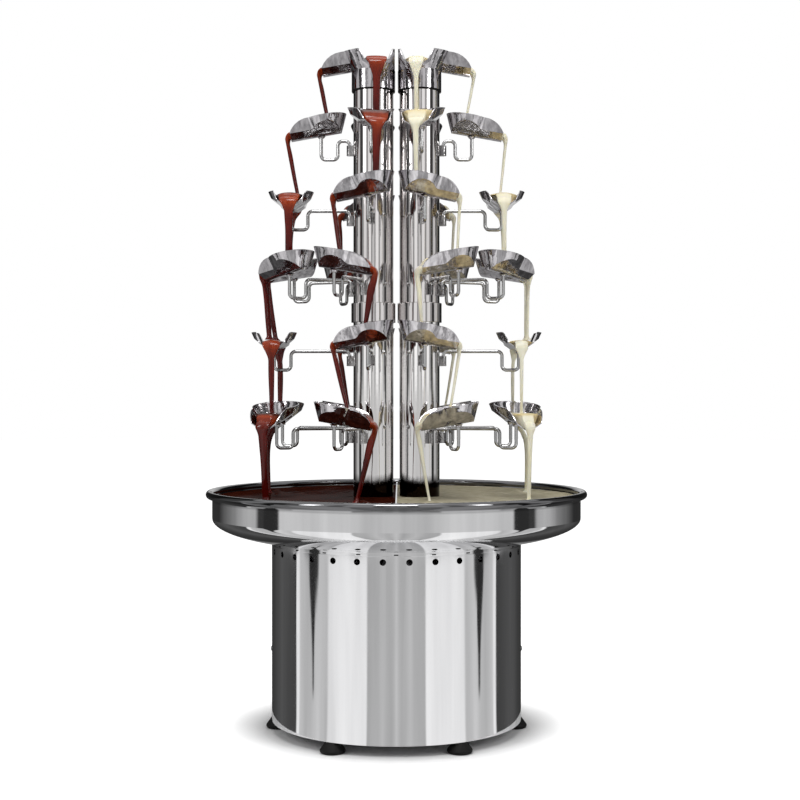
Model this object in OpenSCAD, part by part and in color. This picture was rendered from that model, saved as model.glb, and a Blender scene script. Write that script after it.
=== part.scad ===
// Twin-tower cascade chocolate fountain, in millimetres.
// +Z is up, -Y is the front, and the origin is on the ground under the middle of the base.

/* [Base] */
// Outer diameter of the drum
drum_d = 372; // [350:1:400]
// Height of the drum wall
drum_h = 260; // [245:1:300]
// Sheet thickness of the drum
drum_wall = 1.5; // [1:0.1:2.5]
// Width of the flange turned inward at the top of the drum
flange_w = 16; // [12:0.5:24]
// Number of round vents in the drum
vent_count = 32; // [16:4:40]
// Diameter of one vent
vent_d = 9; // [5:0.5:10]
// Distance from the top of the drum to the vent centres
vent_drop = 8; // [7:0.5:20]
// Thickness of the floor plate
floor_t = 2; // [1.5:0.1:4]
// Height of the screws in the two sides above the floor plate
side_screw_rise = 100; // [60:1:140]
// Head diameter of the side screws
side_screw_d = 10; // [8:0.5:14]

/* [Feet] */
// Height of a foot pad
foot_h = 16.5; // [12:0.5:24]
// Diameter of a foot pad
foot_d = 36; // [28:1:40]
// Distance from the drum wall inward to the foot axis
foot_inset = 9; // [8.7:0.1:20]
// Diameter of the threaded stud
stud_d = 8; // [6:0.5:9]
// How far a foot can be screwed out
level_travel = 10; // [5:0.5:10]

/* [Drive] */
// Depth of the motor deck below the top of the drum
deck_drop = 44; // [38:1:60]
// Thickness of the motor deck
deck_t = 4; // [3:0.5:6]
// Side of a gearbox
gearbox_w = 88; // [80:1:92]
// Height of a gearbox
gearbox_h = 58; // [50:1:66]
// Offset of the output shaft from the middle of its gearbox
shaft_offset = 18; // [15:0.5:22]
// Diameter of a motor
motor_d = 86; // [70:1:88]
// Height of a motor
motor_h = 104; // [80:1:110]
// Diameter of the drive shaft
shaft_d = 15; // [12:0.5:18]

/* [Bowl] */
// Outer diameter of the bowl wall
bowl_d = 548; // [520:1:580]
// Sheet thickness of the bowl
bowl_t = 1.5; // [1.2:0.1:2.5]
// Radius of the flat middle of the bowl floor
bowl_flat_r = 85; // [78:1:100]
// Rise of the curved part of the bowl floor
bowl_curve_h = 41; // [36:1:44]
// Height of the straight wall above the curve
bowl_wall_h = 35; // [25:1:50]
// Diameter of the rolled rim
rim_d = 11; // [8:0.5:14]
// Height of the seat ring at its outside
seat_h = 5; // [4.5:0.1:8]
// Number of slots in the seat ring
seat_slots = 22; // [10:1:30]
// Thickness of the divider plate
divider_t = 2; // [1.2:0.1:2.2]
// Depth of the divider's top edge below the top of the rim
divider_drop = 5; // [3:0.5:20]

/* [Towers] */
// Distance between the two tower axes
tower_pitch = 69.2; // [68.6:0.2:76]
// Outer diameter of a tube
tube_d = 60; // [56:0.2:60.4]
// Wall thickness of a tube
tube_wall = 2; // [1.5:0.1:3]
// Wall thickness of the collar that joins two tubes
collar_wall = 3.2; // [2:0.1:3.6]
// Height of the joint collar
collar_h = 29; // [20:1:40]
// Wall thickness of the tube base and the crown sleeve
sleeve_wall = 2.4; // [1.6:0.1:3]
// Height of the inlet windows under the tube
inlet_h = 20; // [12:1:24]
// Width of one inlet window
inlet_w = 26; // [16:1:30]
// How deep a tube sits in its base
tube_seat = 16; // [10:1:24]
// Diameter of the auger core
core_d = 22; // [20:0.5:26]
// Gap between the auger flight and the tube
flight_gap = 0.7; // [0.5:0.1:1.5]
// Rise of the flight in one turn
flight_pitch = 48; // [36:1:60]
// Thickness of the flight
flight_t = 3; // [2:0.5:5]

/* [Tiers] */
// Height of the lowest tier above the flat bowl floor
low_tier_rise = 171.5; // [160:0.5:190]
// Extra height between the two lowest tiers
low_step = 10; // [0:1:15]
// Height between two tiers
tier_pitch = 105; // [95:1:120]
// Height from the top tier to the top of the tube
tube_over_tier = 100; // [85:1:120]
// Height of a pouring dish above its tier line
dish_rise = 8; // [4:0.5:12]
// Height of a splitting dish above its tier line
split_rise = 1; // [0:0.5:6]
// Gap between the tube and the back of a top-tier dish
tube_gap = 5; // [5:0.5:12]
// How far inside a lip the next dish has its middle
catch_in = 8; // [4:0.5:10]
// How far the front dishes stand towards the other tower
front_in = 3; // [0:0.5:4]

/* [Dishes] */
// Sheet thickness of a dish
sheet = 1.2; // [0.8:0.1:1.6]
// Radius of the round belly at the foot of its wall
belly_r = 22; // [20:0.5:24]
// Outward lean of the wall for each unit of height
flare = 0.45; // [0.3:0.01:0.5]
// Height of the wall
dish_h = 27; // [24:0.5:30]
// Distance from the belly to the lip of a pouring dish
lip_x = 54; // [48:0.5:58]
// Distance from the belly to each lip of a splitting dish
split_x = 48; // [44:0.5:52]
// Half width of the spout at its floor
spout_w = 14; // [11:0.5:16]
// Radius of the trough along the floor
trough_r = 14; // [10:0.5:18]
// Slope of the trough sides
trough_a = 35; // [28:1:40]
// Length over which the wall dips towards the lip
nose_l = 30; // [24:0.5:32]
// Radius of that dip
nose_r = 36; // [34:0.5:44]
// Slope of a pouring dish towards its lip
dish_tilt = 10; // [4:0.5:12]
// Diameter of the boss under a dish
boss_d = 9; // [7:0.5:12]
// Height of that boss
boss_h = 4; // [3:0.5:8]
// How far ahead of its belly a dish on a short arm has its boss
boss_lead = 9; // [9:0.5:12]

/* [Arms] */
// Diameter of the bent rod
rod_d = 5; // [4:0.1:6]
// Bend radius of the rod
bend_r = 7; // [5:0.5:8]
// Width of the drip loop
loop_w = 25; // [20:0.5:26]
// Depth of the drip loop below the tier line
loop_h = 28; // [22:0.5:34]
// Height of a socket
socket_h = 15; // [10:0.5:18]
// Wall thickness of a socket
socket_wall = 2.2; // [1.5:0.1:3]

/* [Crown] */
// Height of the crown sleeve on the tube
crown_sleeve_h = 28; // [20:1:36]
// Radius of the crown at its top
crown_r = 49.5; // [46:0.5:52]
// Height of the crown cup
crown_h = 26; // [22:0.5:30]
// Distance from the tower axis to a crown lip
crown_lip = 76; // [70:0.5:80]
// Turn of the front and back crown spouts towards the other tower
crown_turn = 4.5; // [0:0.5:6]
// Gap left between the two crowns
crown_gap = 5; // [4:0.5:8]

/* [Controls] */
// Width of the control tray
tray_w = 164; // [150:1:176]
// Height of the control tray
tray_h = 78; // [72:1:90]
// Height of the middle of the tray above the floor plate
tray_rise = 106; // [70:1:130]
// Thickness of the tray
tray_t = 2; // [1.5:0.1:3]
// Diameter of a heat knob
knob_d = 34; // [28:1:36]
// Height of a heat knob
knob_h = 15; // [12:0.5:18]
// Distance of the knobs from the middle
knob_x = 60; // [58:0.5:62]
// Distance of the switches from the middle
switch_x = 30; // [29:0.5:31]
// Swing of a rocker from on to off
rocker_swing = 22; // [14:1:24]

/* [Fits] */
// Gap between two bodies that move apart
part_gap = 0.3; // [0.3:0.05:0.6]
// Radial clearance of a running shaft
run_fit = 0.08; // [0.05:0.01:0.1]
// Gap between pieces that are welded or pushed together
weld_fit = 0.05; // [0.02:0.01:0.1]

/* [Hidden] */
$fn = 64;
thin = 0.02;
tiers = 5;
foot_count = 6;

drum_r = drum_d / 2;
drum_in = drum_r - drum_wall;
drum_top = foot_h + drum_h;
floor_top = foot_h + floor_t;
vent_z = drum_top - vent_drop;
foot_ring = drum_r - foot_inset;
stud_top = floor_top + 12 + level_travel;
bush_h = 14;
bush_d = stud_d + 6;
nut_d = side_screw_d;
nut_h = 4;
bolt_d = side_screw_d / 2;

deck_top = drum_top - deck_drop;
deck_z = deck_top - deck_t;
deck_r = drum_in - 20;
post_r = deck_r - 14;
post_d = 12;
deck_bolt = 6;
deck_bolt_in = 12;
gear_bolt = 5;
gear_bolt_deep = 10;
bore_spare = 4;
gear_bolt_in = 9;
gear_boss_d = shaft_d + 15;
gear_x = tower_pitch / 2 + shaft_offset;
motor_top = deck_z - gearbox_h;

bowl_r = bowl_d / 2;
seat_z = drum_top;
seat_r = drum_r - 1;
seat_w = 8;
bowl_a = bowl_r - bowl_flat_r;
bowl_z = seat_z + seat_h - bowl_curve_h * (1 - sqrt(1 - pow((seat_r - bowl_flat_r) / bowl_a, 2)));
bowl_wall_z = bowl_z + bowl_curve_h;
rim_z = bowl_wall_z + bowl_wall_h;
rim_r = bowl_r - bowl_t + rim_d / 2;
rim_top = rim_z + rim_d / 2;
bowl_floor = bowl_z + bowl_t;
divider_top = rim_top - divider_drop;
seal_d = 30;
seal_flange = 38;
seal_rise = 3;
heater_in = bowl_flat_r + 12;
heater_out = heater_in + 36;
heater_t = 8;

tower_x = tower_pitch / 2;
tube_r = tube_d / 2;
tube_in = tube_r - tube_wall;
base_lip = 3;
tube_z = bowl_floor + base_lip + inlet_h + 2;
low_tier = bowl_floor + low_tier_rise;
tube_top = tier_z(1) + tube_over_tier;
joint_z = (tier_z(3) + tier_z(4)) / 2 + 5;
socket_r = rod_d / 2 + run_fit + socket_wall;
socket_x = snap(tube_r + socket_r + 0.5);

form_h = 60;
form_low = 3;
slant = sqrt(1 + flare * flare);
dish_back = belly_r + flare * dish_h;
reach_1 = tube_r + tube_gap + dish_back;
front_y = reach_1 + lip_x;
side_2 = reach_1 + lip_x;
side_3 = side_2 - catch_in;
split_y = split_x + 4;
turn_1 = 280;
turn_3 = 140;
side_4 = side_3 - lip_x * cos(turn_3) - catch_in;
side_5 = side_4 - catch_in;
turn_5 = 255;
swing_in = 168;
swing_out = 352;
front_2 = front_in;
front_3 = front_2 + lip_x * cos(swing_in) - catch_in / 2;
front_3_y = front_y - lip_x * sin(swing_in);

crown_z = tube_top + 3;
cup_flare = (crown_r - tube_r - part_gap - sleeve_wall) / crown_h;
cup_r = tube_r + part_gap + sleeve_wall;
crown_flat = tower_x - crown_gap / 2;

tray_z = floor_top + tray_rise;
face_y = sqrt(pow(drum_in, 2) - pow(tray_w / 2, 2)) - 0.5;
spindle_d = 6;
thermo_d = 32;
thermo_h = 22;
knob_gap = 1;
switch_w = 20;
switch_h = 34;
switch_deep = 24;
bezel = 2;
paddle_r = 12.8;
paddle_w = 14.4;
pivot_in = 4;
pivot_d = 3;
pivot_l = 2;
lamp_d = 10;
lamp_rise = 28;
inlet_body = [20, 25, 28];
inlet_plate = [24, 2.5, 50];

function tier_z(t) = low_tier + (tiers - t) * tier_pitch + (t < tiers ? low_step : 0);

// A length to the nearest hundredth, so that the pieces of a rod meet end to end
function snap(v) = round(v * 100) / 100;

// Radius of the auger core at the corners of the flight
flight_steps = 12;
flight_in = core_d / 2 / cos(180 / flight_steps) + weld_fit;
flight_out = tube_in - flight_gap;
auger_z = tube_z - inlet_h + 4;
auger_top = tube_top - 4;
flight_z = auger_z + 4;

// Stations of the front half of a tier on the left tower: [x, y, heading, splits in two, boss lead]
function stations(t) =
    t == 1 ? [
        [-reach_1, 0, 180, false, boss_lead],
        [-front_in, -reach_1, turn_1, false, boss_lead]
    ] :
    t == 2 || t == 4 ? [
        [t == 2 ? -side_2 : -side_4, 0, 90, true, 0],
        [front_2, -front_y, swing_in, false, boss_lead]
    ] :
    t == 3 ? [
        [-side_3, -split_y, turn_3, false, boss_lead],
        [front_3, -front_3_y, swing_out, false, 0]
    ] :
    [[-side_5, -split_y, turn_5, false, 0], [front_3, -front_3_y, swing_out, false, 0]];

// Where the boss of a station's dish, and the end of its arm, stand
function boss_at(s) = [s[0] + s[4] * cos(s[2]), s[1] + s[4] * sin(s[2])];

function station_z(t, s) = tier_z(t) + (s[3] ? split_rise : dish_rise);

// Height of the bowl's outside above its flat floor, at radius r, moved inward by t
function bowl_curve(r, t) =
    r <= bowl_flat_r ? t :
    bowl_curve_h - (bowl_curve_h - t)
    * sqrt(max(0, 1 - pow((r - bowl_flat_r) / (bowl_a - t), 2)));

// Points of the bowl's curve from the flat floor to the wall, moved inward by t
function bowl_points(t) = [
    for (a = [0 : 6 : 90])
    [bowl_flat_r + (bowl_a - t) * sin(a), bowl_z + bowl_curve_h - (bowl_curve_h - t) * cos(a)]
];

steel = [0.78, 0.79, 0.80];
dark_steel = [0.45, 0.46, 0.48];
rubber = [0.06, 0.06, 0.06];
plastic = [0.10, 0.10, 0.11];
cast = [0.55, 0.56, 0.58];
seal_white = [0.92, 0.92, 0.90];
lamp_red = [0.80, 0.12, 0.08];

// Moves a left tower's piece to its tower, or mirrors it to the right one
module tower(side) {
    if (side < 0)
        translate([-tower_x, 0, 0]) children();
    else
        mirror([1, 0, 0]) translate([-tower_x, 0, 0]) children();
}

// Repeats its children for each foot
module at_feet() {
    for (i = [0 : foot_count - 1])
        rotate(i * 360 / foot_count) translate([foot_ring, 0, 0]) children();
}

// Draws an outline in the plane across X and pulls it along X
module along_x(from, to) {
    translate([from, 0, 0]) rotate([90, 0, 90]) linear_extrude(to - from) children();
}

// Base

module base_drum() {
    color(steel) difference() {
        rotate_extrude() polygon([
            [drum_in, foot_h], [drum_r, foot_h], [drum_r, drum_top], [drum_r - flange_w, drum_top],
            [drum_r - flange_w, drum_top - drum_wall], [drum_in, drum_top - drum_wall]
        ]);
        for (i = [0 : vent_count - 1])
            rotate((i + 0.5) * 360 / vent_count) translate([drum_r - 4, 0, vent_z])
                rotate([0, 90, 0]) cylinder(d = vent_d, h = 8);
        translate([-tray_w / 2 + 5, 0, tray_z - tray_h / 2 + 5])
            cube([tray_w - 10, drum_d, tray_h - 10]);
        for (a = [0, 180])
            rotate(a) translate([drum_r - 4, 0, floor_top + side_screw_rise])
                rotate([0, 90, 0]) cylinder(d = bolt_d + 2 * weld_fit, h = 8);
    }
}

module base_floor() {
    color(dark_steel) difference() {
        translate([0, 0, foot_h]) cylinder(r = drum_in - weld_fit, h = floor_t);
        at_feet() translate([0, 0, foot_h - 1]) cylinder(d = stud_d + 2 * run_fit, h = floor_t + 2);
    }
}

module foot(i) {
    color(rubber) rotate((i - 1) * 360 / foot_count) translate([foot_ring, 0, 0])
        rotate_extrude() polygon([
            [0, 0], [foot_d / 2 - 3, 0], [foot_d / 2 - 1, 1], [foot_d / 2, 3], [foot_d / 2, 5],
            [foot_d / 2 - 2, 8], [foot_d / 3.6, foot_h - part_gap], [stud_d / 2, foot_h - part_gap],
            [stud_d / 2, stud_top], [0, stud_top]
        ]);
}

module foot_bushes() {
    color(steel) at_feet() translate([0, 0, floor_top]) difference() {
        cylinder(d = bush_d, h = bush_h);
        translate([0, 0, -1]) cylinder(d = stud_d + 2 * run_fit, h = bush_h + 2);
    }
}

// A domed screw through the wall with its nut inside
module side_screws() {
    color(steel) for (a = [0, 180])
        rotate(a) translate([0, 0, floor_top + side_screw_rise]) {
            translate([drum_r, 0, 0]) rotate([0, 90, 0]) difference() {
                translate([0, 0, -3]) intersection() {
                    sphere(d = side_screw_d + 1);
                    cylinder(d = side_screw_d, h = side_screw_d);
                }
                translate([0, 0, -10]) cylinder(d = side_screw_d * 2, h = 10);
            }
            translate([drum_r - drum_wall - nut_h, 0, 0]) rotate([0, 90, 0])
                cylinder(d = bolt_d, h = nut_h + drum_wall + 0.5);
            translate([drum_r - drum_wall - nut_h - 1, 0, 0]) rotate([0, 90, 0])
                cylinder(d = nut_d, h = nut_h, $fn = 6);
        }
}

module motor_deck() {
    color(dark_steel) difference() {
        translate([0, 0, deck_z]) cylinder(r = deck_r, h = deck_t);
        for (s = [-1, 1])
            translate([s * tower_x, 0, deck_z - 1]) cylinder(d = gear_boss_d + 2, h = deck_t + 2);
        at_posts() translate([0, 0, deck_z - 1]) cylinder(d = deck_bolt + 2 * weld_fit, h = deck_t + 2);
        at_gear_bolts() translate([0, 0, deck_z - 1]) cylinder(d = gear_bolt + 2 * weld_fit, h = deck_t + 2);
    }
}

module at_posts() {
    for (i = [0 : 3])
        rotate(45 + i * 90) translate([post_r, 0, 0]) children();
}

module at_gear_bolts() {
    for (s = [-1, 1], x = [-1, 1], y = [-1, 1])
        translate([s * gear_x + x * (gearbox_w / 2 - gear_bolt_in), y * (gearbox_w / 2 - gear_bolt_in), 0])
            children();
}

module deck_posts() {
    color(steel) at_posts() difference() {
        translate([0, 0, floor_top]) cylinder(d = post_d, h = deck_z - floor_top);
        translate([0, 0, deck_z - deck_bolt_in - bore_spare])
            cylinder(d = deck_bolt + 2 * weld_fit, h = deck_bolt_in + bore_spare + 1);
    }
}

module deck_screws() {
    color(steel) {
        at_posts() screw(deck_bolt, deck_t + deck_bolt_in);
        at_gear_bolts() screw(gear_bolt, deck_t + gear_bolt_deep);
    }
}

// A hexagon screw with its head on the deck
module screw(d, l) {
    translate([0, 0, deck_top]) cylinder(d = d * 1.8, h = d * 0.7, $fn = 6);
    translate([0, 0, deck_top - l]) cylinder(d = d, h = l + 0.5);
}

module gearbox(side) {
    color(cast) difference() {
        union() {
            translate([side * gear_x - gearbox_w / 2, -gearbox_w / 2, motor_top])
                cube([gearbox_w, gearbox_w, gearbox_h]);
            translate([side * tower_x, 0, deck_z - 1]) cylinder(d = gear_boss_d, h = deck_t + 1);
        }
        translate([side * tower_x, 0, motor_top + 12]) cylinder(d = shaft_d + 2 * run_fit, h = gearbox_h);
        at_gear_bolts() translate([0, 0, deck_z - gear_bolt_deep - bore_spare / 2])
            cylinder(d = gear_bolt + 2 * weld_fit, h = gear_bolt_deep + bore_spare / 2 + 1);
    }
}

module motor(side) {
    color(dark_steel) translate([side * gear_x, 0, motor_top - motor_h]) {
        cylinder(d = motor_d, h = motor_h);
        translate([0, 0, -6]) cylinder(d = motor_d * 0.7, h = 7);
    }
}

module heater(side) {
    color(cast) rotate(side > 0 ? -75 : 105) rotate_extrude(angle = 150) polygon([
        [heater_in, bowl_z + bowl_curve(heater_in, 0) - heater_t],
        [heater_out, bowl_z + bowl_curve(heater_in, 0) - heater_t],
        [heater_out, bowl_z + bowl_curve(heater_out, 0) - part_gap - 0.6],
        [heater_in, bowl_z + bowl_curve(heater_in, 0) - part_gap]
    ]);
}

// Controls

module control_tray() {
    color(steel) difference() {
        intersection() {
            translate([0, 0, tray_z - tray_h / 2]) cylinder(r = drum_in - weld_fit, h = tray_h);
            translate([-tray_w / 2, face_y - tray_t, tray_z - tray_h / 2]) cube([tray_w, drum_r, tray_h]);
        }
        translate([-tray_w, face_y, tray_z - tray_h / 2 + tray_t])
            cube([2 * tray_w, drum_r, tray_h - 2 * tray_t]);
        for (s = [-1, 1]) {
            at_face(s * knob_x, 0) cylinder(d = spindle_d + 2 * run_fit, h = 2 * tray_t + 2, center = true);
            at_face(s * switch_x, lamp_rise) cylinder(d = lamp_d + 2 * weld_fit, h = 9, center = true);
            translate([s * switch_x, face_y, tray_z])
                cube([switch_w + 2 * weld_fit, 9, switch_h + 2 * weld_fit], center = true);
        }
        translate([0, face_y, tray_z])
            cube([inlet_body[0] + 2 * weld_fit, 9, inlet_body[2] + 2 * weld_fit], center = true);
    }
}

// Puts its children on the tray's face, with their +Z pointing out of it
module at_face(x, z) {
    translate([x, face_y, tray_z + z]) rotate([-90, 0, 0]) children();
}

module thermostats() {
    color(plastic) for (s = [-1, 1])
        at_face(s * knob_x, 0) translate([0, 0, -tray_t - thermo_h]) difference() {
            cylinder(d = thermo_d, h = thermo_h);
            translate([0, 0, 4]) cylinder(d = spindle_d + 2 * run_fit, h = thermo_h);
        }
}

module heat_knob(side) {
    color(plastic) at_face(side * knob_x, 0) {
        translate([0, 0, -tray_t - thermo_h + 5]) cylinder(d = spindle_d, h = thermo_h + tray_t);
        translate([0, 0, knob_gap]) cylinder(d = knob_d, h = 4);
        translate([0, 0, knob_gap + 3]) cylinder(d1 = knob_d * 0.82, d2 = knob_d * 0.74, h = knob_h - 3);
        translate([-1.5, -knob_d * 0.36, knob_gap + knob_h - 1]) cube([3, knob_d * 0.36, 2.5]);
    }
}

module switch_housings() {
    color(plastic) for (s = [-1, 1])
        translate([s * switch_x, face_y, tray_z]) difference() {
            union() {
                translate([-switch_w / 2, -switch_deep, -switch_h / 2])
                    cube([switch_w, switch_deep + 1, switch_h]);
                translate([-switch_w / 2 - bezel, 0, -switch_h / 2 - bezel])
                    cube([switch_w + 2 * bezel, bezel, switch_h + 2 * bezel]);
            }
            translate([-paddle_w / 2 - part_gap, -pivot_in - paddle_r - 1, -paddle_r - part_gap])
                cube([paddle_w + 2 * part_gap, switch_deep, 2 * paddle_r + 2 * part_gap]);
            translate([0, -pivot_in, 0]) rotate([0, 90, 0])
                cylinder(d = pivot_d + 2 * run_fit, h = paddle_w + 2 * pivot_l + 2 * part_gap, center = true);
        }
}

// A rocker paddle on its two pivots, pressed to on
module rocker(side) {
    color(plastic) translate([side * switch_x, face_y - pivot_in, tray_z]) rotate([rocker_swing / 2, 0, 0]) {
        intersection() {
            rotate([0, 90, 0]) cylinder(r = paddle_r, h = paddle_w, center = true);
            along_x(-paddle_w / 2, paddle_w / 2) polygon([
                [-2 * paddle_r, -2 * paddle_r], [9.5, -2 * paddle_r], [9.5, -paddle_r],
                [7, 0], [9.5, paddle_r], [9.5, 2 * paddle_r], [-2 * paddle_r, 2 * paddle_r]
            ]);
        }
        rotate([0, 90, 0]) cylinder(d = pivot_d, h = paddle_w + 2 * pivot_l, center = true);
    }
}

module pilot_lamps() {
    color(lamp_red) for (s = [-1, 1])
        at_face(s * switch_x, lamp_rise) {
            translate([0, 0, -14]) cylinder(d = lamp_d, h = 15);
            cylinder(d = lamp_d + 3, h = 2);
            translate([0, 0, 1]) cylinder(d1 = lamp_d, d2 = lamp_d * 0.6, h = 4);
        }
}

module power_inlet() {
    color(plastic) translate([0, face_y, tray_z]) {
        difference() {
            union() {
                translate([-inlet_body[0] / 2, -inlet_body[1], -inlet_body[2] / 2])
                    cube([inlet_body[0], inlet_body[1] + 1, inlet_body[2]]);
                translate([-inlet_plate[0] / 2, 0, -inlet_plate[2] / 2]) cube(inlet_plate);
            }
            translate([-inlet_body[0] / 2 + 2, -16, -inlet_body[2] / 2 + 2])
                cube([inlet_body[0] - 4, 30, inlet_body[2] - 4]);
        }
        for (z = [-7, 0, 7])
            translate([z == 0 ? -5 : 1, -17, z - 1]) cube([4, 13, 2]);
    }
}

// Bowl

module bowl_solid() {
    rotate_extrude() polygon(concat(
        [[0, bowl_z]], bowl_points(0), [[bowl_r, bowl_wall_z + 5], [0, bowl_wall_z + 5]]
    ));
}

module seat_ring() {
    color(steel) difference() {
        translate([0, 0, seat_z]) difference() {
            cylinder(r = seat_r, h = seat_h + 4);
            translate([0, 0, -1]) cylinder(r = seat_r - seat_w, h = seat_h + 6);
        }
        bowl_solid();
        for (i = [0 : seat_slots - 1])
            rotate(-90 + i * 360 / seat_slots) translate([seat_r - seat_w - 2, -3, seat_z + 1.2])
                cube([seat_w + 4, 6, 1.6]);
    }
}

module bowl() {
    color(steel) difference() {
        union() {
            rotate_extrude() polygon(concat(
                [[0, bowl_z]], bowl_points(0), [[bowl_r, rim_z], [bowl_r - bowl_t, rim_z]],
                [for (i = [len(bowl_points(0)) - 1 : -1 : 0]) bowl_points(bowl_t)[i]], [[0, bowl_floor]]
            ));
            rotate_extrude() translate([rim_r, rim_z]) circle(d = rim_d);
        }
        for (s = [-1, 1])
            translate([s * tower_x, 0, bowl_z - 1]) cylinder(d = seal_d, h = bowl_t + 2);
    }
}

module bowl_divider() {
    color(steel) intersection() {
        translate([-divider_t / 2, -bowl_r, bowl_z]) cube([divider_t, bowl_d, divider_top - bowl_z]);
        rotate_extrude() polygon(concat(
            [[0, bowl_floor + weld_fit]], bowl_points(bowl_t + weld_fit),
            [[bowl_r - bowl_t - weld_fit, rim_z - rim_d / 2], [rim_r - rim_d / 2 - weld_fit, rim_z],
            [rim_r - rim_d / 2 - weld_fit, rim_top], [0, rim_top]]
        ));
    }
}

module shaft_seals() {
    color(seal_white) for (s = [-1, 1])
        translate([s * tower_x, 0, 0]) difference() {
            union() {
                translate([0, 0, bowl_z - 6]) cylinder(d = seal_d - 2 * weld_fit, h = 6 + bowl_t + 1);
                translate([0, 0, bowl_floor]) cylinder(d = seal_flange, h = seal_rise);
            }
            translate([0, 0, bowl_z - 7]) cylinder(d = shaft_d + 2 * run_fit, h = 20);
        }
}

// Towers

module drive_shaft(side) {
    color(steel) translate([side * tower_x, 0, motor_top + 14])
        cylinder(d = shaft_d, h = auger_z + 26 - motor_top - 14);
}

// The auger core, bored for the shaft, with a flight wound around it
module auger(side) {
    turns = (auger_top - 8 - flight_z) / flight_pitch;
    color(steel) translate([side * tower_x, 0, 0]) {
        difference() {
            translate([0, 0, auger_z]) cylinder(d = core_d, h = auger_top - auger_z);
            translate([0, 0, auger_z - 1]) cylinder(d = shaft_d + 2 * weld_fit, h = 28);
        }
        flight(floor(turns * flight_steps));
    }
}

module flight(n) {
    points = [
        for (i = [0 : n])
        let (a = i * 360 / flight_steps, z = flight_z + i * flight_pitch / flight_steps)
        each [
            for (p = [[flight_in, 0], [flight_out, 0], [flight_out, flight_t], [flight_in, flight_t]])
            [p[0] * cos(a), p[0] * sin(a), z + p[1]]
        ]
    ];
    sides = [
        for (i = [0 : n - 1], j = [0 : 3])
        let (a = 4 * i + j, b = 4 * i + (j + 1) % 4)
        each [[a, b, b + 4], [a, b + 4, a + 4]]
    ];
    polyhedron(points, concat([[3, 2, 1, 0]], sides, [[4 * n, 4 * n + 1, 4 * n + 2, 4 * n + 3]]));
}

module tube_base() {
    color(steel) difference() {
        translate([0, 0, bowl_floor]) cylinder(r = tube_r + sleeve_wall, h = tube_z + tube_seat - bowl_floor);
        translate([0, 0, bowl_floor - 1]) cylinder(r = tube_in, h = tube_z - bowl_floor + 2);
        translate([0, 0, tube_z]) cylinder(r = tube_r + weld_fit, h = tube_seat + 1);
        for (a = [45 : 90 : 315])
            rotate(a) translate([0, -inlet_w / 2, bowl_floor + base_lip]) cube([tube_d, inlet_w, inlet_h]);
    }
}

module tube(from, to) {
    color(steel) translate([0, 0, from]) difference() {
        cylinder(r = tube_r, h = to - from);
        translate([0, 0, -1]) cylinder(r = tube_in, h = to - from + 2);
    }
}

module lower_tube() {
    tube(tube_z, joint_z - thin);
}

module upper_tube() {
    tube(joint_z + thin, tube_top);
}

module joint_collar() {
    r = tube_r + collar_wall;
    color(steel) difference() {
        translate([0, 0, joint_z - collar_h / 2]) {
            cylinder(r1 = r - 0.6, r2 = r, h = 0.6);
            translate([0, 0, 0.6]) cylinder(r = r, h = collar_h - 1.2);
            translate([0, 0, collar_h - 0.6]) cylinder(r1 = r, r2 = r - 0.6, h = 0.6);
        }
        translate([0, 0, joint_z - collar_h]) cylinder(r = tube_r + weld_fit, h = 2 * collar_h);
    }
}

// The V trough with a round floor that all dishes and spouts share, moved inward by t
module trough(t) {
    r = trough_r - t;
    edge = form_h;
    rise = trough_r - r * cos(trough_a) + (edge - r * sin(trough_a)) * tan(trough_a);
    along_x(-2 * dish_back, 2 * lip_x) polygon(concat(
        [[-edge, rise + form_h], [-edge, rise]],
        [for (i = [-3 : 3]) [r * sin(i * trough_a / 3), trough_r - r * cos(i * trough_a / 3)]],
        [[edge, rise], [edge, rise + form_h]]
    ));
}

// The walls of a spout between two distances, moved inward by t
module spout(from, to, t) {
    w = spout_w - t * slant;
    along_x(from, to) polygon([
        [-w + form_low * flare, -form_low], [w - form_low * flare, -form_low],
        [w + form_h * flare, form_h], [-w - form_h * flare, form_h]
    ]);
}

// The side view below the wall's edge, which dips to the lips
module wall_edge(back, lip) {
    dip = asin(nose_l / nose_r);
    nose = [
        for (i = [0 : 5])
        [lip - nose_l + nose_r * sin(i * dip / 5), dish_h - nose_r + nose_r * cos(i * dip / 5)]
    ];
    rotate([90, 0, 0]) linear_extrude(4 * form_h, center = true) polygon(concat(
        [[-back - form_low, -form_h], [lip + form_low, -form_h], [lip + form_low, nose[5][1]]],
        [for (i = [5 : -1 : 0]) nose[i]],
        [[-back - form_low, dish_h]]
    ));
}

module dish_form(t, split, grow) {
    lip = (split ? split_x : lip_x) + grow;
    intersection() {
        union() {
            translate([0, 0, -form_low]) cylinder(
                r1 = belly_r - form_low * flare - t * slant,
                r2 = belly_r + form_h * flare - t * slant,
                h = form_low + form_h
            );
            spout(split ? -lip : 0, lip, t);
        }
        trough(t);
    }
}

// A dish with its belly over the origin, its lip towards +X and its boss ahead of the belly
module dish(split, lead) {
    lean = split ? 0 : dish_tilt;
    difference() {
        union() {
            rotate([0, lean, 0]) intersection() {
                dish_form(0, split, 0);
                wall_edge(2 * dish_back, split ? split_x : lip_x);
                if (split)
                    mirror([1, 0, 0]) wall_edge(2 * dish_back, split_x);
            }
            translate([lead, 0, -boss_h]) cylinder(d = boss_d, h = boss_h + 3);
        }
        rotate([0, lean, 0]) dish_form(sheet, split, 3);
    }
}

module dishes(t) {
    color(steel) for (s = stations(t)) {
        station_dish(t, s);
        if (s[1] != 0)
            mirror([0, 1, 0]) station_dish(t, s);
    }
}

module station_dish(t, s) {
    translate([s[0], s[1], station_z(t, s)]) rotate(s[2]) dish(s[3], s[4]);
}

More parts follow.
